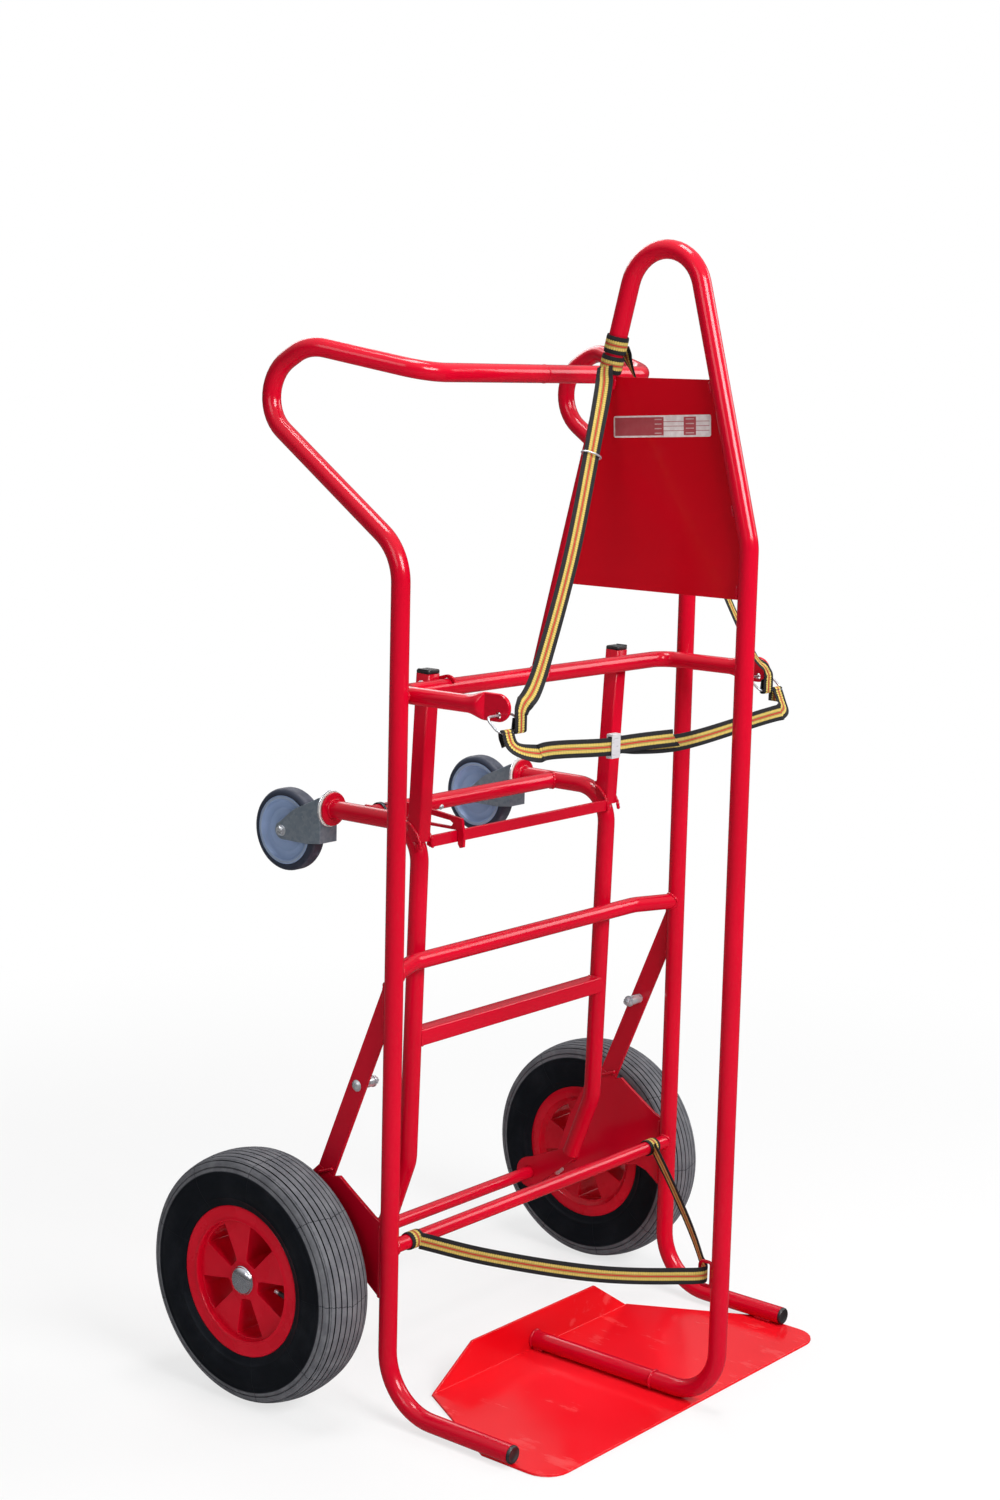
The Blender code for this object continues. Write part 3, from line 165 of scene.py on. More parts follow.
pale = Finish("pale_floor")
seen, mirrored_ray = pale.outputs("ShaderNodeLightPath", "Is Camera Ray", "Is Glossy Ray")
glow, dim = (pale.node("ShaderNodeEmission", {}, {"Color": (1.0, 1.0, 1.0), "Strength": strength})
    for strength in (1.0, 0.14))
pale.coat(Base_Color=(0.8, 0.8, 0.8), Roughness=0.9)
away = pale.node("ShaderNodeVectorMath", {"operation": "LENGTH"}, {0: pale.place()}, 1)
fade = pale.ease(away, 0.9, 2.6, 0.72, 1.0)
lit = pale.node("ShaderNodeMixShader", {}, {0: seen * fade, 1: Wire(pale, pale.surface.outputs[0]), 2: glow})
lit = pale.node("ShaderNodeMixShader", {}, {0: mirrored_ray, 1: lit, 2: dim})
pale.link(lit, pale.tree.nodes["Material Output"].inputs[0])
floor_mesh.materials.append(pale.material)

world = bpy.data.worlds.new("studio")
bpy.context.scene.world = world
world.use_nodes = True
sky = Finish("studio", tree=world.node_tree)
camera_ray, glossy_ray, clear_ray = sky.outputs("ShaderNodeLightPath", "Is Camera Ray", "Is Glossy Ray",
    "Is Transmission Ray")
shown = camera_ray.most(clear_ray)
backdrop = sky.tree.nodes["Background"]
backdrop.inputs["Color"].default_value = (1.0, 1.0, 1.0, 1.0)
height = sky.split(sky.node("ShaderNodeTexCoord"))[2]
overhead = sky.ease(height, 0.05, 0.85, -0.05, 0.75)
sky.link(0.12 + shown * 0.88 + glossy_ray * overhead, backdrop.inputs["Strength"])


def lamp(name, place, target, size, power):
    light = bpy.data.lights.new(name, "AREA")
    light.shape = "RECTANGLE"
    light.size, light.size_y = size
    light.energy = power
    holder = bpy.data.objects.new(name, light)
    bpy.context.scene.collection.objects.link(holder)
    holder.location = place
    holder.rotation_euler = (Vector(target) - Vector(place)).to_track_quat("-Z", "Y").to_euler()


lamp("key_lamp", (-0.7, -3.9, 3.2), (0.0, 0.0, 0.7), (2.2, 1.6), 200.0)
lamp("fill_lamp", (-3.7, -0.7, 2.7), (0.0, 0.0, 0.8), (1.6, 1.6), 24.0)
lamp("side_lamp", (3.5, -1.8, 2.8), (0.0, 0.0, 0.8), (2.0, 1.6), 45.0)
lamp("back_lamp", (1.8, 3.2, 3.2), (0.0, 0.1, 0.8), (2.4, 1.6), 40.0)
lamp("top_lamp", (0.0, -0.2, 4.2), (0.0, 0.0, 0.6), (1.4, 1.0), 75.0)
bpy.context.scene.view_settings.view_transform = "Standard"

# Camera.
# It stands to the left of the toe plate at about eye height and looks slightly down, as in the photograph.
yaw, dip, roll = (math.radians(a) for a in (-50.645, 9.131, 1.372))
back = Vector((math.sin(yaw) * math.cos(dip), -math.cos(yaw) * math.cos(dip), math.sin(dip)))
level = Vector((math.cos(yaw), math.sin(yaw), 0.0))
upward = back.cross(level)
right_edge = level * math.cos(roll) + upward * math.sin(roll)
top_edge = upward * math.cos(roll) - level * math.sin(roll)
camera_data = bpy.data.cameras.new("camera")
camera_data.sensor_fit = "VERTICAL"
sensor_height, focal_pixels, picture_rows = 36.0, 2469.04, 1500.0
camera_data.sensor_height = sensor_height
camera_data.lens = sensor_height * focal_pixels / picture_rows
camera = bpy.data.objects.new("camera", camera_data)
bpy.context.scene.collection.objects.link(camera)
eye = (-2.8437, -2.2361, 1.5164)
turned = Matrix((right_edge, top_edge, back)).transposed().to_4x4()
camera.matrix_world = Matrix.Translation(eye) @ turned
bpy.context.scene.camera = camera

# Side tubes.
# Steel tube of 26.9 mm, powder coated bright red: each runs from the foot beside the toe plate up the side,
# back to the wide handle, and forward again to the middle of the cross bar, where the two are butt welded.
GAP = 0.0003
TUBE_R = 0.01345
FRAME_HALF = 0.3385
FOOT_Z = 0.004 + GAP + TUBE_R


def bent(corners, radii, steps=14):
    """Points of a bent bar: straight runs with an arc at each inner corner."""
    path = [Vector(corners[0])]
    for i, radius in enumerate(radii, start=1):
        before, corner, after = (Vector(c) for c in corners[i - 1:i + 2])
        into = (before - corner).normalized()
        out = (after - corner).normalized()
        opening = into.angle(out)
        centre = corner + (into + out).normalized() * radius / math.sin(opening / 2)
        reach = radius / math.tan(opening / 2)
        start = corner + into * reach - centre
        end = corner + out * reach - centre
        sweep = start.angle(end)
        for k in range(steps + 1):
            t = k / steps
            path.append(centre + (start * math.sin((1 - t) * sweep) + end * math.sin(t * sweep))
                / math.sin(sweep))
    path.append(Vector(corners[-1]))
    return path


def frames_along(path, closed=False):
    """A pair of cross directions at each point, turned as little as possible from one to the next."""
    count = len(path)
    tangents = []
    for i in range(count):
        ahead = path[(i + 1) % count] if closed else path[min(i + 1, count - 1)]
        behind = path[i - 1] if closed else path[max(i - 1, 0)]
        tangents.append((ahead - behind).normalized())
    helper = Vector((0, 0, 1)) if abs(tangents[0].z) < 0.9 else Vector((1, 0, 0))
    side = tangents[0].cross(helper).normalized()
    out = []
    for tangent in tangents:
        side = (side - tangent * side.dot(tangent)).normalized()
        out.append((side, tangent.cross(side)))
    return out


def angles(count, step=None, first=0.0):
    """Angles in even steps of so many degrees, or round one full turn."""
    return [math.radians(first + k * (step or 360.0 / count)) for k in range(count)]


def loops(build, rings, closed=False):
    """Add the faces through rings of points to a bmesh, with both ends capped unless it is closed."""
    rows = [[build.verts.new(p) for p in ring] for ring in rings]
    size = len(rows[0])
    pairs = list(zip(rows[:-1], rows[1:]))
    if closed:
        pairs.append((rows[-1], rows[0]))
    for row, nxt in pairs:
        for i in range(size):
            build.faces.new((row[i], row[(i + 1) % size], nxt[(i + 1) % size], nxt[i]))
    if not closed:
        build.faces.new(list(reversed(rows[0])))
        build.faces.new(rows[-1])
    bmesh.ops.recalc_face_normals(build, faces=build.faces)


def finished(name, build, finish, body="trolley_frame", node="", sharp=40.0):
    """Turn a bmesh into a shaded piece that rides on a body and stands for its CAD node."""
    mesh = bpy.data.meshes.new(name)
    build.to_mesh(mesh)
    build.free()
    mesh.shade_smooth()
    mesh.set_sharp_from_angle(angle=math.radians(sharp))
    piece = bpy.data.objects.new(name, mesh)
    bpy.context.scene.collection.objects.link(piece)
    mesh.materials.append(finish)
    if body:
        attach(piece, body)
    if node:
        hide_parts(node)
    return piece


def skin(name, rings, finish, body="trolley_frame", node="", closed=False, sharp=40.0):
    build = bmesh.new()
    loops(build, rings, closed)
    return finished(name, build, finish, body, node, sharp)


def round_rings(path, radius, sides=32, closed=False):
    """Rings of a round bar; the radius is one number or one for each point."""
    rings = []
    for i, (point, (side, over)) in enumerate(zip(path, frames_along(path, closed))):
        reach = radius[i] if isinstance(radius, list) else radius
        rings.append([point + (side * math.cos(a) + over * math.sin(a)) * reach for a in angles(sides)])
    return rings


def pipe(name, path, radius, finish, body="trolley_frame", node="", sides=32, closed=False):
    return skin(name, round_rings(path, radius, sides, closed), finish, body, node, closed)


def welds(name, runs, body="trolley_frame"):
    """Painted weld beads: each run is a list of points, and whether it closes on itself."""
    build = bmesh.new()
    for points, closed in runs:
        dense = []
        ends = points + points[:1] if closed else points
        for a, b in zip(ends[:-1], ends[1:]):
            a, b = Vector(a), Vector(b)
            steps = max(1, round((b - a).length / 0.0016))
            dense += [a.lerp(b, k / steps) for k in range(steps)]
        if not closed:
            dense.append(Vector(ends[-1]))
        swell = [0.0021 + 0.0006 * abs(math.sin(k * 0.9)) + 0.0002 * math.sin(k * 0.37)
            for k in range(len(dense))]
        if not closed:
            swell[0] = swell[-1] = 0.0009
        loops(build, round_rings(dense, swell, 8, closed), closed)
    return finished(name, build, tube_paint, body, sharp=80.0)


def saddle(centre, main, main_r, branch, branch_r):
    """The closed line where a round branch tube meets a round main tube."""
    centre, main, branch = Vector(centre), Vector(main).normalized(), Vector(branch).normalized()
    side = branch.cross(main).normalized()
    over = branch.cross(side)
    line = []
    for a in angles(28):
        off = (side * math.cos(a) + over * math.sin(a)) * branch_r
        flat_off = off - main * off.dot(main)
        flat_dir = branch - main * branch.dot(main)
        p, q = flat_dir.length_squared, flat_off.dot(flat_dir)
        reach = (-q + math.sqrt(max(0.0, q * q - p * (flat_off.length_squared - main_r ** 2)))) / p
        line.append(centre + off + branch * reach)
    return line


def mirrored(points):
    return [Vector((-p[0], p[1], p[2])) for p in points]


def red_paint(name, scuffs=0.0, deep=(0.52, 0.001, 0.016), light=(0.6, 0.0014, 0.02)):
    """Bright red powder coat: a soft orange-peel gloss, slightly uneven colour, and scuffs where wanted."""
    paint = Finish(name)
    drift = paint.noise(3.0, 2.0)
    color = paint.mix(paint.ease(drift, 0.3, 0.7), deep, light)
    haze = paint.noise(28.0, 5.0, 0.65)
    gloss = 0.17 + paint.ease(haze, 0.35, 0.75) * 0.08
    peel = paint.noise(150.0, 1.0) * 0.6 + paint.noise(36.0, 2.0) * 5.0
    if scuffs:
        streaks = paint.noise(34.0, 6.0, 0.7, (1.0, 0.22, 1.0)) * paint.noise(9.0, 4.0, 0.6)
        worn = paint.ease(streaks, 0.33 - 0.03 * scuffs, 0.42) * scuffs
        color = paint.mix(worn * 0.45, color, (0.84, 0.13, 0.13))
        gloss = gloss + worn * 0.3
    return paint.coat(Base_Color=color, Roughness=gloss, Specular_IOR_Level=0.06, Coat_Weight=0.55,
        Coat_Roughness=0.15, Normal=paint.bump(peel, 0.000006, 0.3))


tube_paint = red_paint("red_powder_coat")

HANDLE_RISE = math.radians(34.7)
HANDLE_RUN = 0.3669
KINK_Z = 1.2454
side_path = bent([(-FRAME_HALF, -0.2322, FOOT_Z), (-FRAME_HALF, 0.0, FOOT_Z), (-FRAME_HALF, 0.0, KINK_Z),
    (-FRAME_HALF, HANDLE_RUN * math.cos(HANDLE_RISE), KINK_Z + HANDLE_RUN * math.sin(HANDLE_RISE)),
    (-0.3304, 0.1873, 1.5224), (-0.2556, 0.0304, 1.488), (-GAP / 2, 0.0304, 1.488)],
    [0.085, 0.082, 0.0592, 0.0592, 0.0605])
pipe("side_tube_left_skin", side_path, TUBE_R, tube_paint, "trolley_frame", "side_tube_left")
pipe("side_tube_right_skin", mirrored(side_path), TUBE_R, tube_paint, "trolley_frame", "side_tube_right")
pipe("handle_butt_weld", [Vector((x, 0.0304, 1.488)) for x in (-0.0028, -0.0016, 0.0, 0.0016, 0.0028)],
    [TUBE_R - 0.0002, TUBE_R + 0.0004, TUBE_R + 0.0006, TUBE_R + 0.0004, TUBE_R - 0.0002], tube_paint,
    "trolley_frame")

# Foot plugs.
# Black moulded plugs pushed into the open front ends of the side tubes, each with a rounded lip, a fine ring
# round its face and a shallow dish in the middle.
BOTH = ((-1, "left"), (1, "right"))


def mm(*pairs):
    """Pairs written in millimetres, as metres."""
    return [(a / 1000, b / 1000) for a, b in pairs]


def lathe(name, profile, centre, axis, finish, body="trolley_frame", node="", steps=48, closed=False,
        sharp=40.0):
    """A turned piece: (radius, height) points round an axis through a centre."""
    turn = Vector((0, 0, 1)).rotation_difference(Vector(axis)).to_matrix()
    rings = []
    for r, h in profile:
        rings.append([Vector(centre) + turn @ Vector((r * math.cos(a), r * math.sin(a), h))
            for a in angles(steps)])
    return skin(name, rings, finish, body, node, closed, sharp)


plug = Finish("black_plastic", "black_plastic")
grain = plug.noise(700.0, 3.0, 0.6)
dust = plug.ease(plug.noise(60.0, 4.0), 0.45, 0.75)
black_plastic = plug.coat(Base_Color=plug.mix(dust, (0.014, 0.014, 0.016), (0.045, 0.042, 0.042)),
    Roughness=0.42 + dust * 0.2, Normal=plug.bump(grain, 0.0001, 0.4))
FOOT_FRONT_Y = -0.2322
plug_face = mm((0.5, 1.8), (6, 2), (8.2, 3), (9.8, 4.2), (11.2, 4.4), (12.4, 3.6), (13.1, 2.2), (13.1, 0.1),
    (11.8, -0.2), (11.2, -6), (0.5, -6))
for side, label in BOTH:
    lathe("foot_plug_" + label + "_moulded", plug_face, (side * FRAME_HALF, FOOT_FRONT_Y - GAP, FOOT_Z),
        (0, -1, 0), black_plastic, "trolley_frame", "foot_plug_" + label)


# Toe plate.
# Steel sheet of 4 mm with rounded front corners, folded up at the back between the feet and powder coated;
# loads have scuffed its top. It is welded under both foot tubes.
def settle(piece, kind, **settings):
    """Add one modifier to a piece and make its result the mesh."""
    step = piece.modifiers.new("step", kind)
    for name, value in settings.items():
        setattr(step, name, value)
    with bpy.context.temp_override(object=piece, active_object=piece, selected_objects=[piece]):
        bpy.ops.object.modifier_apply(modifier="step")
    return piece


def softened(node, finish, body, width, turn=25.0):
    """A copy of a CAD node's mesh with its flat faces made whole and its edges broken by a small round."""
    build = bmesh.new()
    build.from_mesh(bpy.data.objects[node].data)
    bmesh.ops.remove_doubles(build, verts=build.verts, dist=0.00002)
    bmesh.ops.dissolve_limit(build, angle_limit=math.radians(1.5), verts=build.verts, edges=build.edges)
    edges = [e for e in build.edges if e.is_manifold and e.calc_face_angle() > math.radians(turn)]
    bmesh.ops.bevel(build, geom=edges, offset=width, segments=2, profile=0.5, affect="EDGES",
        clamp_overlap=True)
    piece = finished(node + "_formed", build, finish, body, node, 50.0)
    return settle(piece, "WEIGHTED_NORMAL", keep_sharp=True)


# Painted light: the plate's red is lighter than the frame's, for the light falling on its top; its scuffs
# are real wear.
scuffed_lit_paint = red_paint("red_powder_coat_scuffed_lit", 1.0, (0.76, 0.002, 0.008), (0.84, 0.012, 0.022))
softened("toe_plate", scuffed_lit_paint, "trolley_frame", 0.0008)
stitches = []
outer = FRAME_HALF - 0.0082
for x, start, stop in ((-outer, -0.216, -0.186), (outer, -0.216, -0.186), (-0.0082, -0.024, -0.004),
        (0.0082, -0.024, -0.004)):
    stitches.append(([(x, start, 0.0062), (x, stop, 0.0062)], False))

# Lifting bow and middle foot.
# One bar of the same tube: from the welded seam on the toe plate forward, up as the front upright, over the
# top and back down to the hoop. A short straight tube carries on from the seam to the plate's fold.
seam_y = -0.2281
UPRIGHT_Y, BOW_KINK_Z = -0.339, 1.263
APEX_Y, APEX_Z = -0.1814, 1.851
HOOP_Y, HOOP_Z = 0.0245, 1.047
bow_path = bent([(0, seam_y - GAP, FOOT_Z), (0, UPRIGHT_Y, FOOT_Z), (0, UPRIGHT_Y, BOW_KINK_Z),
    (0, APEX_Y, APEX_Z), (0, HOOP_Y, HOOP_Z)], [0.075, 0.08, 0.0633], 18)
pipe("lifting_bow_skin", bow_path, TUBE_R, tube_paint, "trolley_frame", "lifting_bow")
pipe("centre_foot_skin", [Vector((0, -0.0023, FOOT_Z)), Vector((0, seam_y, FOOT_Z))], TUBE_R, tube_paint,
    "trolley_frame", "centre_foot")
for y, first, count in ((seam_y, -60, 31), (-0.0034, -50, 29)):
    stitches.append(
        ([(TUBE_R * math.cos(a), y, FOOT_Z + TUBE_R * math.sin(a)) for a in angles(count, 10, first)],
        False))


# Separator panel.
# Sheet steel between the two legs of the bow, held by short welds at its corners, with a thin pale rating
# strip near the top that carries only empty printed boxes.
def front_leg(z):
    return UPRIGHT_Y + max(0.0, z - BOW_KINK_Z) * (APEX_Y - UPRIGHT_Y) / (APEX_Z - BOW_KINK_Z)


def rear_leg(z):
    return APEX_Y + (APEX_Z - z) * (HOOP_Y - APEX_Y) / (APEX_Z - HOOP_Z)


panel_paint = red_paint("red_powder_coat_sheet", 0.0, (0.5, 0.0008, 0.007), (0.58, 0.0012, 0.011))
softened("separator_panel", panel_paint, "trolley_frame", 0.0005)
for face in (-1, 1):
    x = face * 0.0036
    for low, high in ((1.189, 1.207), (1.3, 1.316), (1.468, 1.484)):
        for leg, inward in ((front_leg, 0.0152), (rear_leg, -0.015)):
            stitches.append(([(x, leg(low) + inward, low), (x, leg(high) + inward, high)], False))
welds("frame_plate_welds", stitches)

strip_y, strip_z, strip_long, strip_tall = -0.185, 1.4202, 0.168, 0.0305
strip_lean = math.radians(2.8)
label = Finish("rating_strip", "zinc")
spot = label.split(label.place())
along = (strip_y - spot[1]) * math.cos(strip_lean) + (spot[2] - strip_z) * math.sin(strip_lean)
up = (spot[2] - strip_z) * math.cos(strip_lean) - (strip_y - spot[1]) * math.sin(strip_lean)


def band(value, middle, half):
    """1 where a value lies within half of a middle."""
    return abs(value - middle) < half


inside = band(up, 0.0, 0.0128)
printed = (band(along, -0.039, 0.0425) + band(along, 0.0485, 0.0105)) * inside
for row in (-0.0064, 0.0, 0.0064):
    printed = printed.most(band(up, row, 0.0004) * band(along, 0.0425, 0.039))
for row in (-0.0096, -0.0032, 0.0032, 0.0096):
    printed = printed - band(up, row, 0.0007) * (band(along, -0.006, 0.006)
        + band(along, 0.0485, 0.007)) * 0.55
cloudy = label.noise(120.0, 3.0)
strip_color = label.mix(label.ease(cloudy, 0.3, 0.8), (0.66, 0.56, 0.56), (0.8, 0.74, 0.73))
label.coat(Base_Color=label.mix(printed * 0.92, strip_color, (0.36, 0.01, 0.024)),
    Roughness=0.38 + cloudy * 0.1)
strip = bmesh.new()
half_l, half_t, corner = strip_long / 2, strip_tall / 2, 0.003
edge = []
for cx, cz, first in ((half_l - corner, half_t - corner, 0), (corner - half_l, half_t - corner, 90),
        (corner - half_l, corner - half_t, 180), (half_l - corner, corner - half_t, 270)):
    edge += [(cx + corner * math.cos(math.radians(first + 30 * k)),
        cz + corner * math.sin(math.radians(first + 30 * k))) for k in range(4)]
strip_rings = []
for x, shrink in ((-0.00152, 0.0), (-0.00185, 0.0), (-0.00198, 0.0003)):
    strip_rings.append(
        [Vector((x, strip_y - (u * (1 - shrink / half_l)) * math.cos(strip_lean) + v * math.sin(strip_lean),
        strip_z + v * math.cos(strip_lean) + u * math.sin(strip_lean))) for u, v in edge])
loops(strip, strip_rings)
finished("rating_strip", strip, label.material, sharp=30.0)

# Strap guide.
# A bent wire loop welded low on the rear side of the front upright, which the lower strap passes through.
guide_y = UPRIGHT_Y + TUBE_R + GAP + 0.0025
guide_path = bent([(0, guide_y, 0.1976), (0, guide_y, 0.1865), (0, guide_y + 0.02, 0.1865),
    (0, guide_y + 0.02, 0.2235), (0, guide_y, 0.2235), (0, guide_y, 0.1986)], [0.004, 0.008, 0.008, 0.004],
    8)
pipe("strap_guide_wire", guide_path[:-1], 0.0025, tube_paint, "trolley_frame", "strap_guide", 16, True)

# Restraint hoop.
# Tube bent to a U behind the load, welded to both side tubes. Its arms reach forward and end in flats,
# pressed cold and rounded, each with a punched eye for the strap ring.
HOOP_R = 0.0125
HOOP_HALF = FRAME_HALF - TUBE_R - GAP - HOOP_R
hoop_path = bent([(-HOOP_HALF, -0.104, HOOP_Z), (-HOOP_HALF, HOOP_Y, HOOP_Z), (HOOP_HALF, HOOP_Y, HOOP_Z),
    (HOOP_HALF, -0.104, HOOP_Z)], [0.03, 0.03], 12)
hoop_turn = angles(40, 9, 4.5)


def pressed(y, side, half_t, half_h, flatness):
    """One section of an arm: round where flatness is 0, a flat with rounded edges where it is 1."""
    ring = []
    for a in (-side * a for a in hoop_turn):
        wide = math.cos(a)
        squared = math.copysign(min(1.0, abs(wide) * 2.4), wide)
        ring.append(
            Vector((side * HOOP_HALF + half_t * (wide + (squared - wide) * flatness), y,
            HOOP_Z + half_h * math.sin(a))))
    return ring


def arm_end(side):
    """Sections from the tip back to the round tube."""
    rows = []
    for k in range(9):
        a = math.radians(84.0) * (1 - k / 8)
        rows.append(pressed(-0.176 + 0.0195 * (1 - math.sin(a)), side,
            0.0034 * (0.55 + 0.45 * math.cos(a) ** 0.5), 0.0195 * math.cos(a), 1.0))
    rows.append(pressed(-0.142, side, 0.0034, 0.0195, 1.0))
    for t in (0.0, 0.06, 0.12, 0.18, 0.26, 0.36, 0.48, 0.62, 0.8, 1.0):
        steep = min(1.0, t / 0.3)
        slow = t * t * (3 - 2 * t)
        rows.append(pressed(-0.134 + 0.03 * t, side, 0.0034 + (HOOP_R - 0.0034) * steep ** 0.75,
            0.0195 + (HOOP_R - 0.0195) * slow, (1.0 - steep) ** 1.5))
    return rows


def hoop_sections():
    rows = arm_end(-1)
    for point, (side, _) in zip(hoop_path, frames_along(hoop_path)):
        rows.append([point + side * HOOP_R * math.cos(a) + Vector((0, 0, HOOP_R * math.sin(a)))
            for a in hoop_turn])
    return rows + list(reversed(arm_end(1)))


hoop = skin("restraint_hoop_skin", hoop_sections(), tube_paint, "trolley_frame", "restraint_hoop")
for side in (-1, 1):
    punch = bmesh.new()
    loops(punch,
        round_rings([Vector((side * (HOOP_HALF - 0.02), -0.158, HOOP_Z - 0.01)),
        Vector((side * (HOOP_HALF + 0.02), -0.158, HOOP_Z - 0.01))], 0.005, 24))
    tool = finished("punch", punch, tube_paint, "trolley_frame")
    settle(hoop, "BOOLEAN", object=tool, solver="EXACT")
    bpy.data.objects.remove(tool, do_unlink=True)
hoop.data.set_sharp_from_angle(angle=math.radians(40.0))

# Cross tubes.
# The upper one dishes back to make room for the load, the lower one is straight; both are welded all round
# to the side tubes. The same beads hold the hoop and the foot of the bow.
CROSS_R, LOW_CROSS_R = 0.0123, 0.0107
ARCH_X, ARCH_Y, ARCH_Z, LOW_Z = 0.264, 0.03, 0.655, 0.2554
arch_path = bent([(-FRAME_HALF + 0.006, 0.0024, ARCH_Z), (-ARCH_X, ARCH_Y, ARCH_Z), (ARCH_X, ARCH_Y, ARCH_Z),
    (FRAME_HALF - 0.006, 0.0024, ARCH_Z)], [0.05, 0.05])
pipe("dished_cross_tube_skin", arch_path, CROSS_R, tube_paint, "trolley_frame", "dished_cross_tube")
pipe("lower_cross_tube_skin", [Vector((x, 0, LOW_Z)) for x in (-FRAME_HALF + 0.006, FRAME_HALF - 0.006)],
    LOW_CROSS_R, tube_paint, "trolley_frame", "lower_cross_tube")
beads = []
for side in (-1, 1):
    beads.append((saddle((side * FRAME_HALF, 0, LOW_Z), (0, 0, 1), TUBE_R, (-side, 0, 0), LOW_CROSS_R),
        True))
    beads.append(
        (saddle((side * FRAME_HALF, 0, ARCH_Z), (0, 0, 1), TUBE_R, (-side * 0.0745, 0.03, 0), CROSS_R),
        True))
    for off, half_y, half_z in ((0.0004, 0.0062, 0.0062), (0.0002, 0.0035, 0.0095)):
        beads.append(
            ([(side * (FRAME_HALF - TUBE_R - off), half_y * math.cos(a), HOOP_Z + half_z * math.sin(a))
            for a in angles(18)], True))
beads.append((saddle((0, HOOP_Y, HOOP_Z), (1, 0, 0), HOOP_R, (0, APEX_Y - HOOP_Y, APEX_Z - HOOP_Z), TUBE_R),
    True))

# Axle brackets and braces.
# Flat steel, cut and welded to the back of each side tube: the bracket carries the axle and the leaning
# brace stays it. A zinc plated pin with a domed head, a spacer, a washer and a nut goes through each brace.
AXLE_Y, AXLE_Z, WHEEL_X = 0.193, 0.185, 0.4049
zinc = Finish("zinc_plated_steel", "zinc")
cloud = zinc.noise(46.0, 4.0, 0.6)
brushed = zinc.noise(240.0, 3.0, 0.6, (1.0, 1.0, 0.15))
bright_zinc = zinc.coat(Base_Color=zinc.mix(zinc.ease(cloud, 0.3, 0.75), (0.5, 0.53, 0.58),
    (0.72, 0.74, 0.76)), Metallic=0.62, Roughness=0.24 + zinc.ease(cloud, 0.35, 0.8) * 0.16,
    Normal=zinc.bump(brushed, 0.00006, 0.3))
sheet_paint = red_paint("red_powder_coat_brackets")
for side, label in BOTH:
    softened("axle_bracket_" + label, sheet_paint, "trolley_frame", 0.0007)
    softened("brace_" + label, sheet_paint, "trolley_frame", 0.0007)
    out = (side, 0, 0)
    low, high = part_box("brace_bolt_" + label)
    centre = (low + high) / 2
    centre.x = side * FRAME_HALF
    lathe("brace_pin_%s_shank" % label, mm((0.8, 7.5), (3.4, 7.1), (6, 5.8), (7.8, 4), (8.5, 3.2),
        (8.5, 2.8), (4, 2.8), (4, -2.8), (7.5, -2.8), (7.5, -29), (4, -29), (4, -40), (0.8, -40.2)), centre,
        out, bright_zinc, "trolley_frame", "brace_bolt_" + label, 32)
    lathe("brace_pin_%s_washer" % label,
        mm((4.2, -29.2), (8.8, -29.2), (9, -29.7), (9, -30.6), (4.2, -30.8)), centre, out, bright_zinc,
        "trolley_frame", "", 32)
    lathe("brace_pin_%s_nut" % label, mm((4.2, -31.1), (6.2, -31.1), (6.9, -31.8), (6.9, -36.4),
        (6.2, -37.1), (4.2, -37.1)), centre, out, bright_zinc, "trolley_frame", (), 6, sharp=15.0)
    low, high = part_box("brace_" + label)
    for face in (-0.0033, 0.0033):
        x = side * FRAME_HALF + face * 1.6
        beads.append(([(x, TUBE_R + 0.0006, 0.179), (x, TUBE_R + 0.0006, 0.287)], False))
        x = side * FRAME_HALF + face * 1.4
        beads.append(([(x, TUBE_R + 0.0006, 0.569), (x, TUBE_R + 0.0006, 0.643)], False))
        beads.append(([(x, high.y - 0.03, low.z + 0.012), (x, high.y - 0.001, low.z + 0.0005)], False))
welds("frame_tube_welds", beads)

# Axle.
# A painted steel bar right across the trolley, shouldered at each side to keep the wheel off its bracket.
hub_in, axle_end = WHEEL_X - 0.033, WHEEL_X + 0.0338
half_axle = [(0.0008, axle_end), (0.0095, axle_end), (0.01, axle_end - 0.0005), (0.01, hub_in - 0.0006),
    (0.0145, hub_in - 0.0006), (0.015, hub_in - 0.0011), (0.015, 0.3423), (0.0145, 0.3418), (0.01, 0.3418)]
lathe("axle_bar", half_axle + [(r, -h) for r, h in reversed(half_axle)], (0, AXLE_Y, AXLE_Z), (1, 0, 0),
    tube_paint, "trolley_frame", "axle", 40)

# Tyres.
# Pneumatic, moulded in black rubber: fine ribs run round a dusty grey tread, with staggered cross marks
# where the mould parts, and the plain bluish black wall carries only two thin raised rings.
def round_axle(finish, axle_y, axle_z):
    """The shaded point's distance from an axle along X, its X, and its Y and Z from the axle."""
    x, y, z = finish.split(finish.place())
    y, z = y - axle_y, z - axle_z
    return (y * y + z * z) ** 0.5, x, y, z


rubber = Finish("ribbed_tyre", "tyre")
reach, spot_x, down_y, down_z = round_axle(rubber, AXLE_Y, AXLE_Z)
across = abs(abs(spot_x) - WHEEL_X)
on_tread = rubber.ease(reach, 0.1615, 0.1635)
depth = 0.185 - across * across * 4.17 - reach
# Painted shade: the floors of the grooves between the tread ribs are darkened in the colour.
groove_shade = rubber.ease(depth, 0.0002, 0.0007) * (across < 0.0375)
turn = down_z.math("ARCTAN2", down_z, down_y)
rib = across.math("ROUND", across * 128.0)
shifted = turn * (9.0 / (2.0 * math.pi)) + rib * 0.011 + rubber.noise(60.0, 2.0) * 0.012
seam = rubber.ease(abs(shifted.fraction() - 0.5), 0.002, 0.0075, 1.0, 0.0)
dirt = rubber.noise(38.0, 5.0, 0.65)
fine = rubber.noise(900.0, 3.0, 0.7)
tread_color = rubber.mix(rubber.ease(dirt, 0.3, 0.75), (0.104, 0.106, 0.119), (0.168, 0.17, 0.184))
tread_color = rubber.mix(seam * 0.85, tread_color, (0.016, 0.017, 0.022))
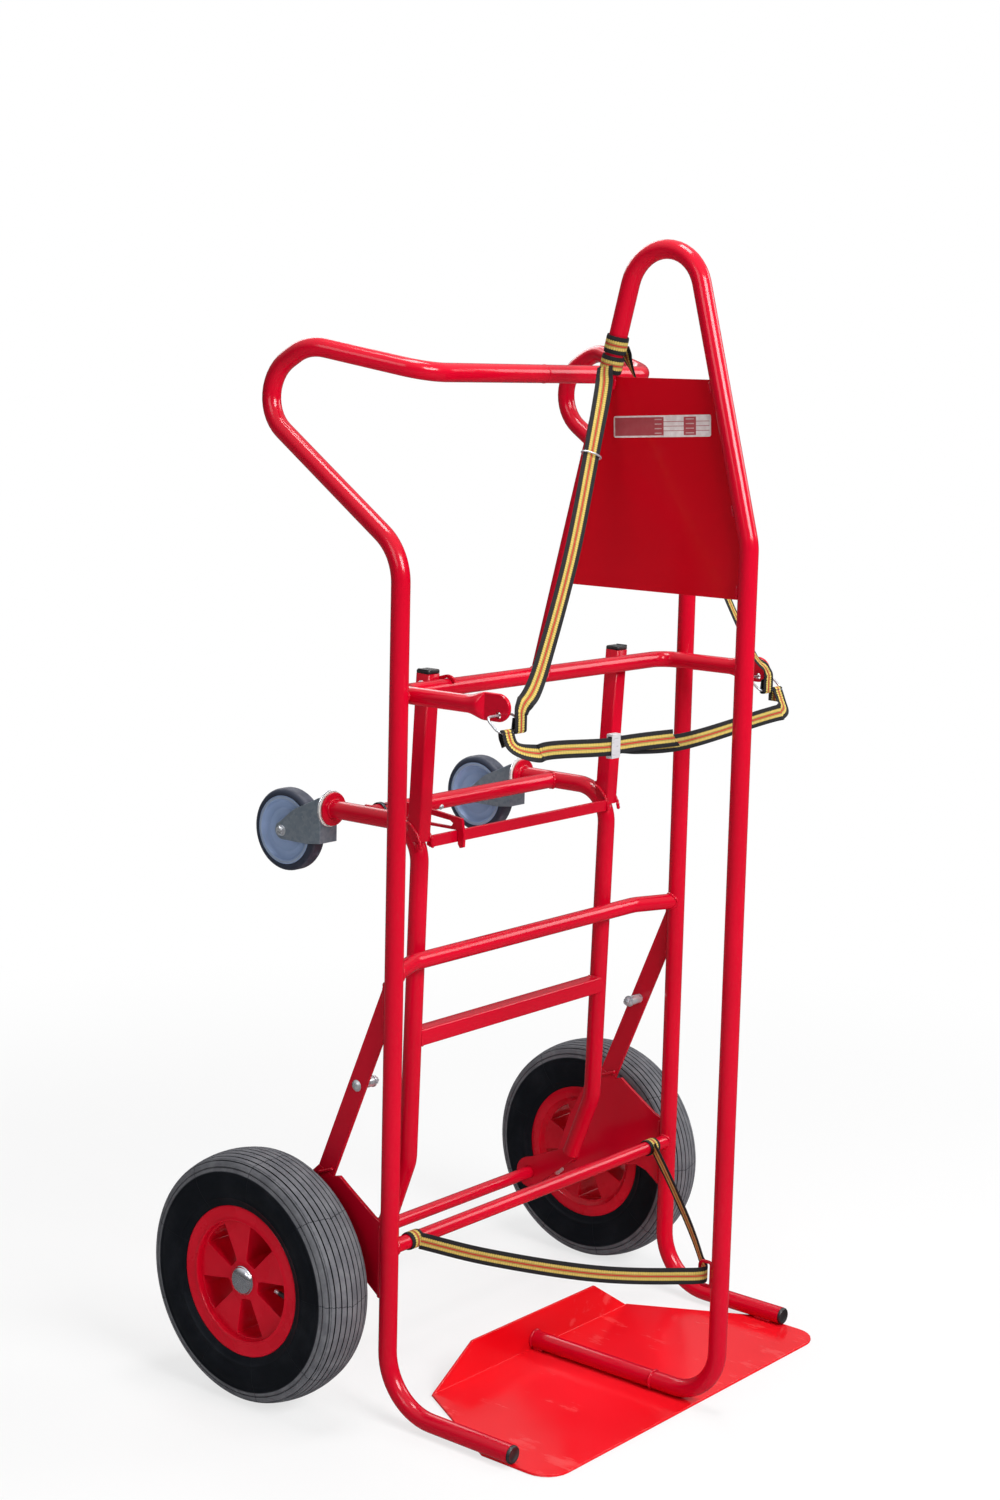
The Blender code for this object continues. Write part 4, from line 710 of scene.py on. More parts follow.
# Here the painted shade darkens the grooves.
tread_color = rubber.mix(groove_shade, tread_color, (0.007, 0.008, 0.011))
wall_color = rubber.mix(rubber.ease(rubber.noise(16.0, 5.0, 0.6), 0.42, 0.8), (0.004, 0.0055, 0.009),
    (0.012, 0.014, 0.019))
black_rubber = rubber.coat(Base_Color=rubber.mix(on_tread, wall_color, tread_color),
    Roughness=0.4 + on_tread * 0.38 + rubber.ease(dirt, 0.4, 0.8) * 0.12, Specular_IOR_Level=0.16,
    Normal=rubber.bump(fine * 0.4 + dirt * 0.6 - seam * 1.4, 0.0004, 0.5))
half_tyre = mm((0, 185), (6, 184.9), (12, 184.4), (18, 183.7), (24, 182.6), (30, 181.3), (34.5, 180),
    (38, 178.4), (40.5, 176.3), (42.2, 173.5), (43.4, 170), (44.3, 166), (44.9, 163.2))
GROOVES = 11


def tread_line():
    """The tread from edge to edge as (radius, height) points, with a groove at each even step along it."""
    outline = [(-h, r) for h, r in reversed(half_tyre[1:])] + half_tyre
    marks = [0.0]
    for (h0, r0), (h1, r1) in zip(outline[:-1], outline[1:]):
        marks.append(marks[-1] + math.hypot(h1 - h0, r1 - r0))

    def at(s):
        for i in range(len(marks) - 1):
            if s <= marks[i + 1] or i == len(marks) - 2:
                t = (s - marks[i]) / (marks[i + 1] - marks[i])
                (h0, r0), (h1, r1) = outline[i], outline[i + 1]
                slope = math.hypot(h1 - h0, r1 - r0)
                inward = ((r1 - r0) / slope, -(h1 - h0) / slope)
                return h0 + (h1 - h0) * t, r0 + (r1 - r0) * t, inward

    total = marks[-1]
    stops = [(s, 0.0) for s in marks]
    for k in range(GROOVES):
        middle = total * (k + 0.5) / GROOVES
        stops = [(s, d) for s, d in stops if abs(s - middle) > 0.0012]
        stops += [(middle - 0.0011, 0.0), (middle - 0.0008, 0.0024), (middle + 0.0008, 0.0024),
            (middle + 0.0011, 0.0)]
    line = []
    for s, d in sorted(stops):
        h, r, inward = at(s)
        line.append((r + inward[1] * d, h + inward[0] * d))
    return line


wall = mm((161.8, 45.3), (161.2, 45.9), (160.2, 45.9), (159.6, 45.5), (154, 46.6), (148, 47.1), (140, 46.7),
    (132, 45.5), (125, 44), (124.3, 44.3), (123.2, 44), (122.6, 43.4), (117, 41.6), (113, 40.4),
    (111.8, 39.8), (111.6, 37.2), (104.8, 36.8))
tyre_section = tread_line() + wall + [(r, -h) for r, h in reversed(wall)]
for side, label in BOTH:
    lathe("tyre_%s_ribbed" % label, tyre_section, (side * WHEEL_X, AXLE_Y, AXLE_Z), (side, 0, 0),
        black_rubber, "wheel_" + label, "tyre_" + label, 112, True, 50.0)

# Rims.
# Moulded in bright red plastic in one piece: a flange ring, a deep throat, five broad spokes with wedge
# shaped windows between them, and the hub. A short black valve with a pale tip comes through one window.
moulded = Finish("red_moulded_plastic", "red_plastic")
swirl = moulded.noise(14.0, 4.0, 0.6)
speck = moulded.noise(520.0, 2.0, 0.6)
red_plastic = moulded.coat(Base_Color=moulded.mix(moulded.ease(swirl, 0.3, 0.75), (0.61, 0.0014, 0.016),
    (0.69, 0.0024, 0.02)), Roughness=0.26 + moulded.ease(swirl, 0.4, 0.8) * 0.12, Specular_IOR_Level=0.06,
    Coat_Weight=0.35, Coat_Roughness=0.14, Normal=moulded.bump(speck + swirl * 2.0, 0.00006, 0.35))
rim_section = mm((110.8, 37), (111.5, 37.7), (111.5, 39.2), (110.8, 40), (109.6, 40.3), (105, 40),
    (96, 39.1), (92.2, 39.4), (90.6, 40.1), (89.6, 40), (88.9, 39), (88.5, 37), (87.8, 32), (86.8, -33.5),
    (88, -35), (93, -38), (94, -40), (110.8, -40), (111.5, -39.2), (111.5, -37.7), (110.8, -37),
    (104.2, -37), (104.2, 37))


def wedge(middle, half, low, high, round_r, steps=5):
    """A window between two spokes, corners rounded, as (y, z) points round the wheel's centre."""
    start, stop = middle - half, middle + half
    corners = []
    for a, r in ((start, low), (start, high), (stop, high), (stop, low)):
        corners.append(Vector((r * math.cos(a), r * math.sin(a), 0)))
    ring = []
    for i in range(4):
        before, here, after = corners[i - 1], corners[i], corners[(i + 1) % 4]
        into, out = (before - here).normalized(), (after - here).normalized()
        cut = min(round_r, 0.35 * (before - here).length, 0.35 * (after - here).length)
        for k in range(steps + 1):
            t = k / steps
            ring.append(here + into * cut * (1 - t) ** 2 + out * cut * t ** 2)
        if i == 1:
            for k in range(1, 8):
                a = start + (stop - start) * (0.12 + 0.76 * k / 8)
                ring.append(Vector((high * math.cos(a), high * math.sin(a), 0)))
    return ring


def spokes(name, side, body):
    """The spoke disc: a round plate with five windows and softly rounded edges."""
    build = bmesh.new()
    disc_r, disc_face, disc_depth, first_window = 0.088, 0.0325, 0.0667, 180.0 + 8.6
    shapes = [[Vector((disc_r * math.cos(a), disc_r * math.sin(a), 0)) for a in angles(96)]]
    for k in range(5):
        middle = math.radians(first_window - 72.0 * k)
        shapes.append(wedge(middle, math.radians(17.5), 0.03, 0.085, 0.0035))
    for shape in shapes:
        ring = [build.verts.new((WHEEL_X * side + side * disc_face, AXLE_Y + p.x, AXLE_Z + p.y))
            for p in shape]
        for a, b in zip(ring, ring[1:] + ring[:1]):
            build.edges.new((a, b))
    bmesh.ops.triangle_fill(build, use_beauty=True, use_dissolve=False, edges=build.edges)
    made = bmesh.ops.extrude_face_region(build, geom=build.faces[:])
    moved = [v for v in made["geom"] if isinstance(v, bmesh.types.BMVert)]
    bmesh.ops.translate(build, verts=moved, vec=(-side * disc_depth, 0, 0))
    bmesh.ops.recalc_face_normals(build, faces=build.faces)
    front = [e for e in build.edges if e.is_manifold and e.calc_face_angle() > math.radians(60)
        and math.hypot((e.verts[0].co.y - AXLE_Y), (e.verts[0].co.z - AXLE_Z)) < 0.087]
    bmesh.ops.bevel(build, geom=front, offset=0.0012, segments=3, profile=0.5, affect="EDGES",
        clamp_overlap=True)
    piece = finished(name, build, red_plastic, body, sharp=50.0)
    return settle(piece, "WEIGHTED_NORMAL", keep_sharp=True)


hub = mm((10.4, 33.4), (22.5, 33.4), (25, 33.1), (26.6, 32.6), (28, 31.5), (28.5, 20), (28.5, -12),
    (26.2, -31.8), (24.5, -33), (10.4, -33))
valve_rubber = Finish("valve_rubber", "black_plastic")
valve_black = valve_rubber.coat(Base_Color=valve_rubber.mix(valve_rubber.noise(300.0), (0.01, 0.01, 0.012),
    (0.03, 0.03, 0.032)), Roughness=0.5)
for side, label in BOTH:
    centre, body = (side * WHEEL_X, AXLE_Y, AXLE_Z), "wheel_" + label
    lathe("rim_%s_barrel" % label, rim_section, centre, (side, 0, 0), red_plastic, body, "rim_" + label, 96,
        True, 50.0)
    spokes("rim_%s_spokes" % label, side, body)
    lathe("rim_%s_hub" % label, hub, centre, (side, 0, 0), red_plastic, body, "", 56)
    a = math.radians(180.0 + 10.5)
    outward = Vector((0, math.cos(a), math.sin(a)))
    foot = Vector((side * (WHEEL_X + 0.015), AXLE_Y, AXLE_Z)) + outward * 0.0858
    lathe("valve_%s_stem" % label, mm((6.6, -1), (6.4, 1.5), (4.6, 5), (4, 16), (3.6, 29), (1, 29.2)), foot,
        -outward, valve_black, body, "", 24)
    lathe("valve_%s_tip" % label, mm((2.7, 28.8), (2.7, 33), (3, 33.4), (3, 37.2), (2.4, 38), (1, 38.2)),
        foot, -outward, bright_zinc, body, "", 20)

# Hub caps.
# Chromed pressings, domed, with a narrow stepped brim, pushed on the ends of the axle.
chrome = Finish("chrome_cap", "hub_chrome")
mist = chrome.noise(90.0, 4.0, 0.6)
bright_chrome = chrome.coat(Base_Color=chrome.mix(chrome.ease(mist, 0.4, 0.8), (0.66, 0.67, 0.73),
    (0.8, 0.8, 0.84)), Metallic=0.92, Roughness=0.1 + chrome.ease(mist, 0.45, 0.8) * 0.1)
dome = [(0.0005, 0.0099)]
for k in range(1, 13):
    a = math.radians(90 - 7 * k)
    dome.append((0.0202 * math.cos(a) / math.cos(math.radians(6)), 0.0016 + 0.0083 * math.sin(a)))
dome += mm((20.6, 1.8), (21.3, 1.5), (21.5, 1), (21.5, 0.1), (20.3, 0.1))
for side, label in BOTH:
    lathe("hub_cap_%s_dome" % label, dome, (side * (axle_end + GAP), AXLE_Y, AXLE_Z), (side, 0, 0),
        bright_chrome, "trolley_frame", "hub_cap_" + label, 56, sharp=50.0)

# Castor frame.
# Two legs of the same tube that swing on the axle, bent at the foot and again at the top. Round and square
# tubes and a flat bar join them; lugs carry the axle and pressed flanges close the tops. All is welded.
LEG_X, CASTOR_Z, MEMBER_Z, CROSS_Y = 0.2225, 0.845, 0.5285, 0.166
leg_path = bent([(-LEG_X, 0.1094, 0.2366), (-LEG_X, 0.07, 0.342), (-LEG_X, 0.057, CASTOR_Z),
    (-LEG_X, 0.2263, CASTOR_Z)], [0.06, 0.055])


def leg_y(z):
    return 0.07 - 0.013 * (z - 0.342) / 0.503


def post_y(z):
    return 0.0605 - 0.0107 * (z - 0.835) / 0.212


def squared(centre, along, half, corner, steps=4):
    """A square ring with rounded corners, square to a direction, its flats facing left and right."""
    along = Vector(along).normalized()
    side = Vector((1, 0, 0)) if abs(along.x) < 0.5 else Vector((0, 1, 0))
    over = along.cross(side).normalized()
    ring = []
    for k, (u, v) in enumerate(((1, 1), (-1, 1), (-1, -1), (1, -1))):
        for n in range(steps + 1):
            a = math.radians(90 * k + 90 * n / steps)
            ring.append(Vector(centre) + side * (u * (half - corner) + corner * math.cos(a)) + over
                * (v * (half - corner) + corner * math.sin(a)))
    return ring


leg_beads = []
for side, label, path in ((-1, "left", leg_path), (1, "right", mirrored(leg_path))):
    x = side * LEG_X
    pipe("leg_tube_%s_skin" % label, path, TUBE_R, tube_paint, "leg_frame", "leg_tube_" + label)
    lean = Vector((0, post_y(1.0) - post_y(0.9), 0.1))
    post = [squared((x, post_y(z), z), lean, 0.0125, 0.0028) for z in (0.822, 0.84, 1.0655)]
    post.append(squared((x, post_y(1.066), 1.066), lean, 0.0121, 0.0026))
    skin("post_%s_tube" % label, post, sheet_paint, "leg_frame", "post_" + label, sharp=50.0)
    seat = mm((44.8, 812), (47.6, 824), (54, 836), (64, 846.2), (72.8, 850))
    for face in (-0.0131, 0.0131):
        leg_beads.append(([(x + face, y, z - 0.0006) for y, z in seat], False))
    leg_beads.append(([(x + u, 0.0735, 0.8535) for u in (-0.0115, -0.006, 0.0, 0.006, 0.0115)], False))
    cap = [squared((x, post_y(1.066), z), (0, 0, 1), half, corner)
        for z, half, corner in ((1.06, 0.01, 0.002), (1.0662, 0.01, 0.002), (1.0663, 0.0122, 0.0028),
        (1.0668, 0.0124, 0.003), (1.07, 0.0124, 0.003), (1.0716, 0.0117, 0.003), (1.0719, 0.0104, 0.0026),
        (1.0716, 0.0098, 0.002))]
    skin("post_cap_%s_moulded" % label, cap, black_plastic, "leg_frame", "post_cap_" + label)
    lip = mm((-12.2, 1071.8), (-12.6, 1072.8), (-12.2, 1073.8), (-10.5, 1074.3), (-10.4, 1073.4),
        (-11.4, 1072.9), (-11.3, 1071.6))
    skin("post_cap_%s_lip" % label, [[Vector((x - side * u, post_y(1.066) + v, z - 0.0012)) for u, z in lip]
        for v in (-0.0108, -0.0104, 0.008, 0.0084)], black_plastic, "leg_frame")
    softened("leg_lug_" + label, sheet_paint, "leg_frame", 0.0008)
    lathe("leg_flange_%s_pressed" % label, mm((0.5, 0), (23.6, 0), (24.8, 0.6), (25.2, 1.6), (25.2, 3.6),
        (24.7, 4.6), (23.8, 5), (0.5, 5)), (x, 0.2266, CASTOR_Z), (0, 1, 0), tube_paint, "leg_frame",
        "leg_flange_" + label, 48)
    leg_beads.append(
        ([(x + 0.0139 * math.cos(a), 0.2262, CASTOR_Z + 0.0139 * math.sin(a)) for a in angles(24)], True))
    for z in (MEMBER_Z - 0.0119, MEMBER_Z + 0.0119):
        leg_beads.append(
            ([(x - side * in_x, leg_y(z) + y, z) for in_x, y in mm((12.5, -10.5), (13.1, -4), (13.1, 4),
            (12.5, 10.5))], False))
    leg_beads.append((saddle((x, CROSS_Y, CASTOR_Z), (0, 1, 0), TUBE_R, (-side, 0, 0), 0.0125), True))
    for y in (0.047, 0.053):
        leg_beads.append(([(x - side * 0.013, y, 0.8135), (x - side * 0.013, y, 0.8275)], False))
    for face in (-0.0044, 0.0044):
        leg_beads.append(([(x + face, 0.0965, 0.2328), (x + face, 0.1215, 0.242)], False))
pipe("leg_cross_tube_skin", [Vector((u, CROSS_Y, CASTOR_Z)) for u in (-LEG_X + 0.004, LEG_X - 0.004)],
    0.0125, tube_paint, "leg_frame", "leg_cross_tube")
skin("leg_square_tube", [squared((u, leg_y(MEMBER_Z), MEMBER_Z), (1, 0, 0), 0.0125, 0.0028)
    for u in (-LEG_X + 0.006, LEG_X - 0.006)], sheet_paint, "leg_frame", "leg_square_member", sharp=50.0)
softened("leg_flat_bar", sheet_paint, "leg_frame", 0.0009)
welds("leg_frame_welds", leg_beads, "leg_frame")
lathe("cross_tube_rivet", mm((0.5, 3.2), (2.2, 3), (3.8, 2), (4.5, 0.6), (4.5, -2), (0.5, -2)),
    (-0.064, 0.1557, 0.838), (0, -0.826, -0.564), bright_zinc, "leg_frame", "", 24)

# Stow hook, latch lever and their pins.
# Flat steel parts, cut and painted: the hook turns on a zinc pin through the left post and drops over the
# hoop, the slotted lever turns on the round cross tube. A dark spring clip of wire sits beside the lever.
softened("stow_hook", sheet_paint, "stow_hook_body", 0.0005)
softened("latch_lever", sheet_paint, "latch_lever_body", 0.0006)
pin_y = 0.0498 - 0.0107 * 0.003 / 0.212
lathe("hook_pin_turned", mm((0.5, -240.1), (2.2, -240), (4.4, -239.1), (6, -237.4), (6.5, -236),
    (6.5, -235.4), (4, -235.3), (4, -205.2), (5.8, -205.2), (6.2, -204.7), (6.2, -200.3), (5.7, -199.6),
    (3.6, -199.4), (3.4, -198.6), (0.5, -198.5)), (0, pin_y, 1.05), (1, 0, 0), bright_zinc, "leg_frame",
    "hook_pin", 32)
wire_steel = Finish("spring_wire", "zinc")
dark_wire = wire_steel.coat(Base_Color=wire_steel.mix(wire_steel.noise(160.0, 3.0), (0.05, 0.055, 0.065),
    (0.11, 0.12, 0.14)), Metallic=0.9, Roughness=0.36)
coil = [Vector((-0.1935 + 0.0026 * a / (2 * math.pi), CROSS_Y + 0.014 * math.cos(a),
    CASTOR_Z + 0.014 * math.sin(a))) for a in angles(63, 15, -90)]
coil = [coil[0] + Vector((-0.0035, -0.004, 0.013)), coil[0] + Vector((-0.001, -0.001, 0.006))] + coil
coil += [coil[-1] + Vector((0.003, -0.0075, 0.002)), coil[-1] + Vector((0.007, -0.0165, 0.003))]
pipe("lever_spring", coil, 0.0011, dark_wire, "leg_frame", sides=10)

# Castors.
# Swivel head of pressed zinc plated steel over a cream seal, a folded fork of galvanised sheet, and a
# plastic wheel with a moulded grey blue tread, held by a hexagon bolt and nut.
WHEEL_Y, WHEEL_Z = 0.318, 0.803
cream = Finish("seal_ring", "castor_plastic")
seal = cream.coat(Base_Color=cream.mix(cream.ease(cream.noise(70.0, 3.0), 0.35, 0.75), (0.8, 0.79, 0.74),
    (0.55, 0.56, 0.55)), Roughness=0.45)
spangle = Finish("galvanised_sheet", "zinc")
flake = spangle.node("ShaderNodeTexVoronoi", {"feature": "F1"}, {"Vector": spangle.place(), "Scale": 210.0},
    "Color")
facet = spangle.split(flake)[0]
scratch = spangle.noise(120.0, 4.0, 0.6, (1.0, 0.12, 1.0))
galvanised = spangle.coat(Base_Color=spangle.mix(facet, (0.205, 0.25, 0.3), (0.27, 0.315, 0.365)),
    Metallic=0.42, Roughness=0.34 + facet * 0.1 + spangle.ease(scratch, 0.45, 0.75) * 0.1,
    Normal=spangle.bump(scratch, 0.00008, 0.3))
hub_plastic = Finish("castor_plastic", "castor_plastic")
cloudy = hub_plastic.noise(24.0, 4.0, 0.6)
from_axle = round_axle(hub_plastic, WHEEL_Y, WHEEL_Z)[0]
worn_ring = hub_plastic.ease(abs(from_axle - 0.049), 0.0004, 0.0026, 1.0, 0.0)
tone = hub_plastic.mix(hub_plastic.ease(cloudy, 0.3, 0.75), (0.25, 0.35, 0.56), (0.29, 0.39, 0.61))
grey_blue = hub_plastic.coat(Base_Color=hub_plastic.mix(worn_ring * 0.8, tone, (0.29, 0.35, 0.45)),
    Roughness=0.36 + cloudy * 0.12, Normal=hub_plastic.bump(hub_plastic.noise(600.0), 0.00008, 0.3))
soft_tread = Finish("castor_tread", "castor_rubber")
rim_r = round_axle(soft_tread, WHEEL_Y, WHEEL_Z)[0]
flat_top = soft_tread.ease(rim_r, 0.06, 0.0618)
lint = soft_tread.ease(soft_tread.noise(80.0, 5.0, 0.65), 0.4, 0.75)
tread_tone = soft_tread.mix(flat_top, (0.022, 0.03, 0.055), (0.036, 0.042, 0.066))
grey_tread = soft_tread.coat(Base_Color=soft_tread.mix(lint * flat_top * 0.55, tread_tone,
    (0.14, 0.15, 0.19)), Roughness=0.5 + lint * 0.25, Normal=soft_tread.bump(lint, 0.0001, 0.3))
for side, label in BOTH:
    x, yoke, wheel = side * LEG_X, "castor_yoke_" + label, "castor_wheel_" + label
    swivel, wheel_centre = (x, 0.2319, CASTOR_Z), (x, WHEEL_Y, WHEEL_Z)
    lathe("castor_seal_" + label, mm((0.5, 0.1), (26.2, 0.1), (27, 0.8), (27, 2), (26.2, 2.6), (0.5, 2.6)),
        swivel, (0, 1, 0), seal, yoke, "", 48)
    lathe("castor_head_%s_pressed" % label,
        mm((0.5, 2.7), (26.6, 2.7), (27.5, 3.4), (27.5, 4.4), (26.8, 5.3), (24.6, 6.4), (23, 6.8),
        (0.5, 6.8)), swivel, (0, 1, 0), bright_zinc, yoke, "castor_head_" + label, 48)
    softened("castor_fork_" + label, galvanised, yoke, 0.0007, 30.0)
    face = mm((52, 13.5), (50.5, 14.1), (47.8, 14.1), (46.2, 13.5), (45.2, 11.2), (43.6, 8.6), (42, 8),
        (34.5, 8.2), (33.5, 8.8), (32, 8.8), (31, 8.3), (20.5, 8.8), (18, 9.5), (16, 12.5), (14.5, 14.6),
        (13.2, 15), (4.5, 15))
    lathe("castor_hub_%s_moulded" % label, face + [(r, -h) for r, h in reversed(face)], wheel_centre,
        (1, 0, 0), grey_blue, wheel, "castor_hub_" + label, 72, True)
    half = mm((62.5, 0), (62.5, 6.6), (62, 8.8), (60.6, 11.2), (58.6, 13.1), (56.2, 14.2), (54, 14.4),
        (52.3, 14.1))
    lathe("castor_tread_%s_moulded" % label, half[1:] + [(r, -h) for r, h in reversed(half)], wheel_centre,
        (1, 0, 0), grey_tread, wheel, "castor_tread_" + label, 72, True, 50.0)
    lathe("castor_bolt_%s_shank" % label, mm((0.5, 24.7), (3, 24.6), (3.6, 24), (3.9, 19), (3.9, -19),
        (0.5, -19)), wheel_centre, (side, 0, 0), bright_zinc, yoke, "castor_bolt_" + label, 24)
    for way, kind in ((1, "nut"), (-1, "head")):
        lathe("castor_bolt_%s_%s" % (label, kind), mm((0.5 if way < 0 else 4.1, 25), (5.5, 25), (6.8, 24.2),
            (7.2, 23.2), (7.2, 20), (4.1, 20)), wheel_centre, (way * side, 0, 0), bright_zinc, yoke, "", 6,
            sharp=15.0)
        lathe("castor_bolt_%s_%s_washer" % (label, kind),
            mm((4.2, 19.9), (8.2, 19.9), (8.5, 19.6), (8.5, 18.8), (4.2, 18.7)), wheel_centre,
            (way * side, 0, 0), bright_zinc, yoke, "", 28)

# Strap rings.
# Bent and welded zinc plated wire, through the eyes of the hoop's arms, tilted forward by the pull of the
# straps.
HOOP_EYE_Y, HOOP_EYE_Z = -0.158, HOOP_Z - 0.01
ring_down = Vector((0, -math.cos(math.radians(40)), -math.sin(math.radians(40)))) * 0.03
for side, label in BOTH:
    hub = Vector((side * HOOP_HALF, HOOP_EYE_Y, HOOP_EYE_Z))
    wide = Vector((0.029, 0, 0))
    middle = hub - wide + ring_down / 2
    loop = bent([middle, hub - wide, hub + wide, hub + wide + ring_down, hub - wide + ring_down, middle],
        [0.01] * 4, 10)
    pipe("strap_ring_%s_wire" % label, loop[:-1], 0.0018, bright_zinc, "ring_" + label,
        "strap_ring_" + label, 16, True)

# Webbing.
# Straps of woven polyester, 25 mm wide: black edges, a yellow middle in ribbed bands with a toothed border,
# and a thin red centre line. They hang slack from the rings and the bow, and overlap in the metal sleeve.
BAND_W, BAND_T = 0.025, 0.002


def slack_line(knots, steps=14):
    """A smooth curve through knots that start with x, y, z, which keeps clear of overshoot."""
    head = tuple(2 * a - b for a, b in zip(knots[0], knots[1]))
    tail = tuple(2 * a - b for a, b in zip(knots[-1], knots[-2]))
    full = [Vector(k) for k in (head, *knots, tail)]
    marks = [0.0]
    for before, after in zip(full[:-1], full[1:]):
        marks.append(marks[-1] + math.sqrt((after - before).length))
    out = []
    for i in range(1, len(full) - 2):
        t0, t1, t2, t3 = marks[i - 1:i + 3]
        p0, p1, p2, p3 = full[i - 1:i + 3]
        for k in range(steps):
            t = t1 + (t2 - t1) * k / steps
            a1 = p0.lerp(p1, (t - t0) / (t1 - t0))
            a2 = p1.lerp(p2, (t - t1) / (t2 - t1))
            a3 = p2.lerp(p3, (t - t2) / (t3 - t2))
            b1 = a1.lerp(a2, (t - t0) / (t2 - t0))
            b2 = a2.lerp(a3, (t - t1) / (t3 - t1))
            out.append(b1.lerp(b2, (t - t1) / (t2 - t1)))
    out.append(full[-2])
    return out


def woven(name, rows, node="", closed=False, body=None, slant=0.0):
    """Webbing through (centre, across) rows, with rounded edges; its map is share across, metres along."""
    outline = []
    for u in (0.0, 0.12, 0.3, 0.5, 0.7, 0.88, 1.0):
        outline.append((u - 0.5, 0.5 * (1.0 if 0.0 < u < 1.0 else 0.45)))
    outline += [(u, -v) for u, v in reversed(outline)]
    build = bmesh.new()
    weave_map = build.loops.layers.uv.new("weave")
    rings, travel, gone = [], [], 0.0
    count = len(rows)
    for i, (centre, across) in enumerate(rows):
        ahead = rows[(i + 1) % count][0] if closed else rows[min(i + 1, count - 1)][0]
        behind = rows[i - 1][0] if closed else rows[max(i - 1, 0)][0]
        along = (ahead - behind).normalized()
        flat = (across - along * across.dot(along)).normalized()
        through = along.cross(flat).normalized()
        if i:
            gone += (centre - rows[i - 1][0]).length
        travel.append(gone)
        shear = slant if i == count - 1 else 0.0
        rings.append([centre + flat * BAND_W * u + through * BAND_T * v + along * shear * u
            for u, v in outline])
    total = gone + ((rows[0][0] - rows[-1][0]).length if closed else 0.0)
    points = [[build.verts.new(p) for p in ring] for ring in rings]
    size = len(outline)
    last = count if closed else count - 1
    for i in range(last):
        j = (i + 1) % count
        for k in range(size):
            m = (k + 1) % size
            face = build.faces.new((points[i][k], points[i][m], points[j][m], points[j][k]))
            ends = (travel[i], travel[i], travel[j] if j else total, travel[j] if j else total)
            for corner, u, v in zip(face.loops, (outline[k][0], outline[m][0], outline[m][0], outline[k][0]),
                    ends):
                corner[weave_map].uv = (u + 0.5, v)
    if not closed:
        for row, far in ((list(reversed(points[0])), 0.0), (points[-1], total)):
            face = build.faces.new(row)
            for corner in face.loops:
                corner[weave_map].uv = (0.0, far)
    bmesh.ops.recalc_face_normals(build, faces=build.faces)
    return finished(name, build, webbing, body, node, 60.0)


def rows_through(knots, steps=14):
    return [(Vector(s[:3]), Vector(s[3:6])) for s in slack_line(knots, steps)]


weave = Finish("woven_webbing", "webbing")
uv = weave.split(weave.node("ShaderNodeUVMap", {"uv_map": "weave"}))
off = abs(uv[0] - 0.5)
fray = weave.noise(420.0, 3.0, 0.6)
rib = (uv[1] * (1.0 / 0.0034)).fraction()
tooth = abs(rib - 0.5) * 0.085
yellow_share = weave.ease(off + tooth, 0.262, 0.276, 1.0, 0.0)
rib_shade = weave.ease(abs(rib - 0.5), 0.1, 0.4)
diagonal = (uv[1] * (1.0 / 0.0017) + off * 9.0).fraction()
thread = weave.ease(abs(diagonal - 0.5), 0.08, 0.4)
yellow = weave.mix(rib_shade * 0.65, (0.64, 0.47, 0.1), (0.3, 0.2, 0.042))
yellow = weave.mix(weave.ease(fray, 0.35, 0.75) * 0.35, yellow, (0.75, 0.63, 0.24))
black = weave.mix(thread, (0.005, 0.005, 0.006), (0.026, 0.025, 0.028))
cloth = weave.mix(yellow_share, black, yellow)
cloth = weave.mix(weave.ease(abs(off - 0.078), 0.012, 0.02, 1.0, 0.0) * 0.8, cloth, (0.05, 0.03, 0.022))
red_line = weave.mix(thread * 0.6, (0.52, 0.035, 0.03), (0.24, 0.018, 0.016))
cloth = weave.mix(weave.ease(off, 0.04, 0.056, 1.0, 0.0), cloth, red_line)
webbing = weave.coat(Base_Color=cloth, Roughness=0.72 + thread * 0.12, Specular_IOR_Level=0.2,
    Normal=weave.bump(thread * 0.6 + rib_shade * 0.4 + fray * 0.3, 0.0005, 0.6))

bar = Vector((HOOP_HALF, HOOP_EYE_Y, HOOP_EYE_Z)) + ring_down
seat_off = 0.0018 + GAP + BAND_T / 2
outer_x, inner_x = bar.x + 0.0135, bar.x - 0.0135
waist_y, layer = bar.y - 0.03, (BAND_T + GAP) / 2
buckle_x, buckle_y, buckle_z = -0.429 * outer_x, waist_y - 0.01, bar.z - 0.033
sleeve_half = 0.0095


def ring_turn(side, x, sweep, flap):
    """Rows of a band round the bar of a ring at a place across it, then along its flap."""
    bent_part = [(Vector((side * x, bar.y + seat_off * math.cos(a), bar.z + seat_off * math.sin(a))),
        Vector((side, 0, 0))) for a in sweep]
    return bent_part + [(Vector((side * (x - in_x), bar.y + seat_off + y, bar.z + z)),
        Vector((side, 0, lean))) for in_x, y, z, lean in flap]


def ring_leave(side):
    return [(side * outer_x, bar.y - seat_off, bar.z - 0.001, -side, 0, 0),
        (side * outer_x, bar.y - seat_off - 0.006, bar.z - 0.014, -side, 0, 0.1),
        (side * (outer_x - 0.03), waist_y, bar.z - 0.028, -side * 0.55, 0.2, 0.75)]


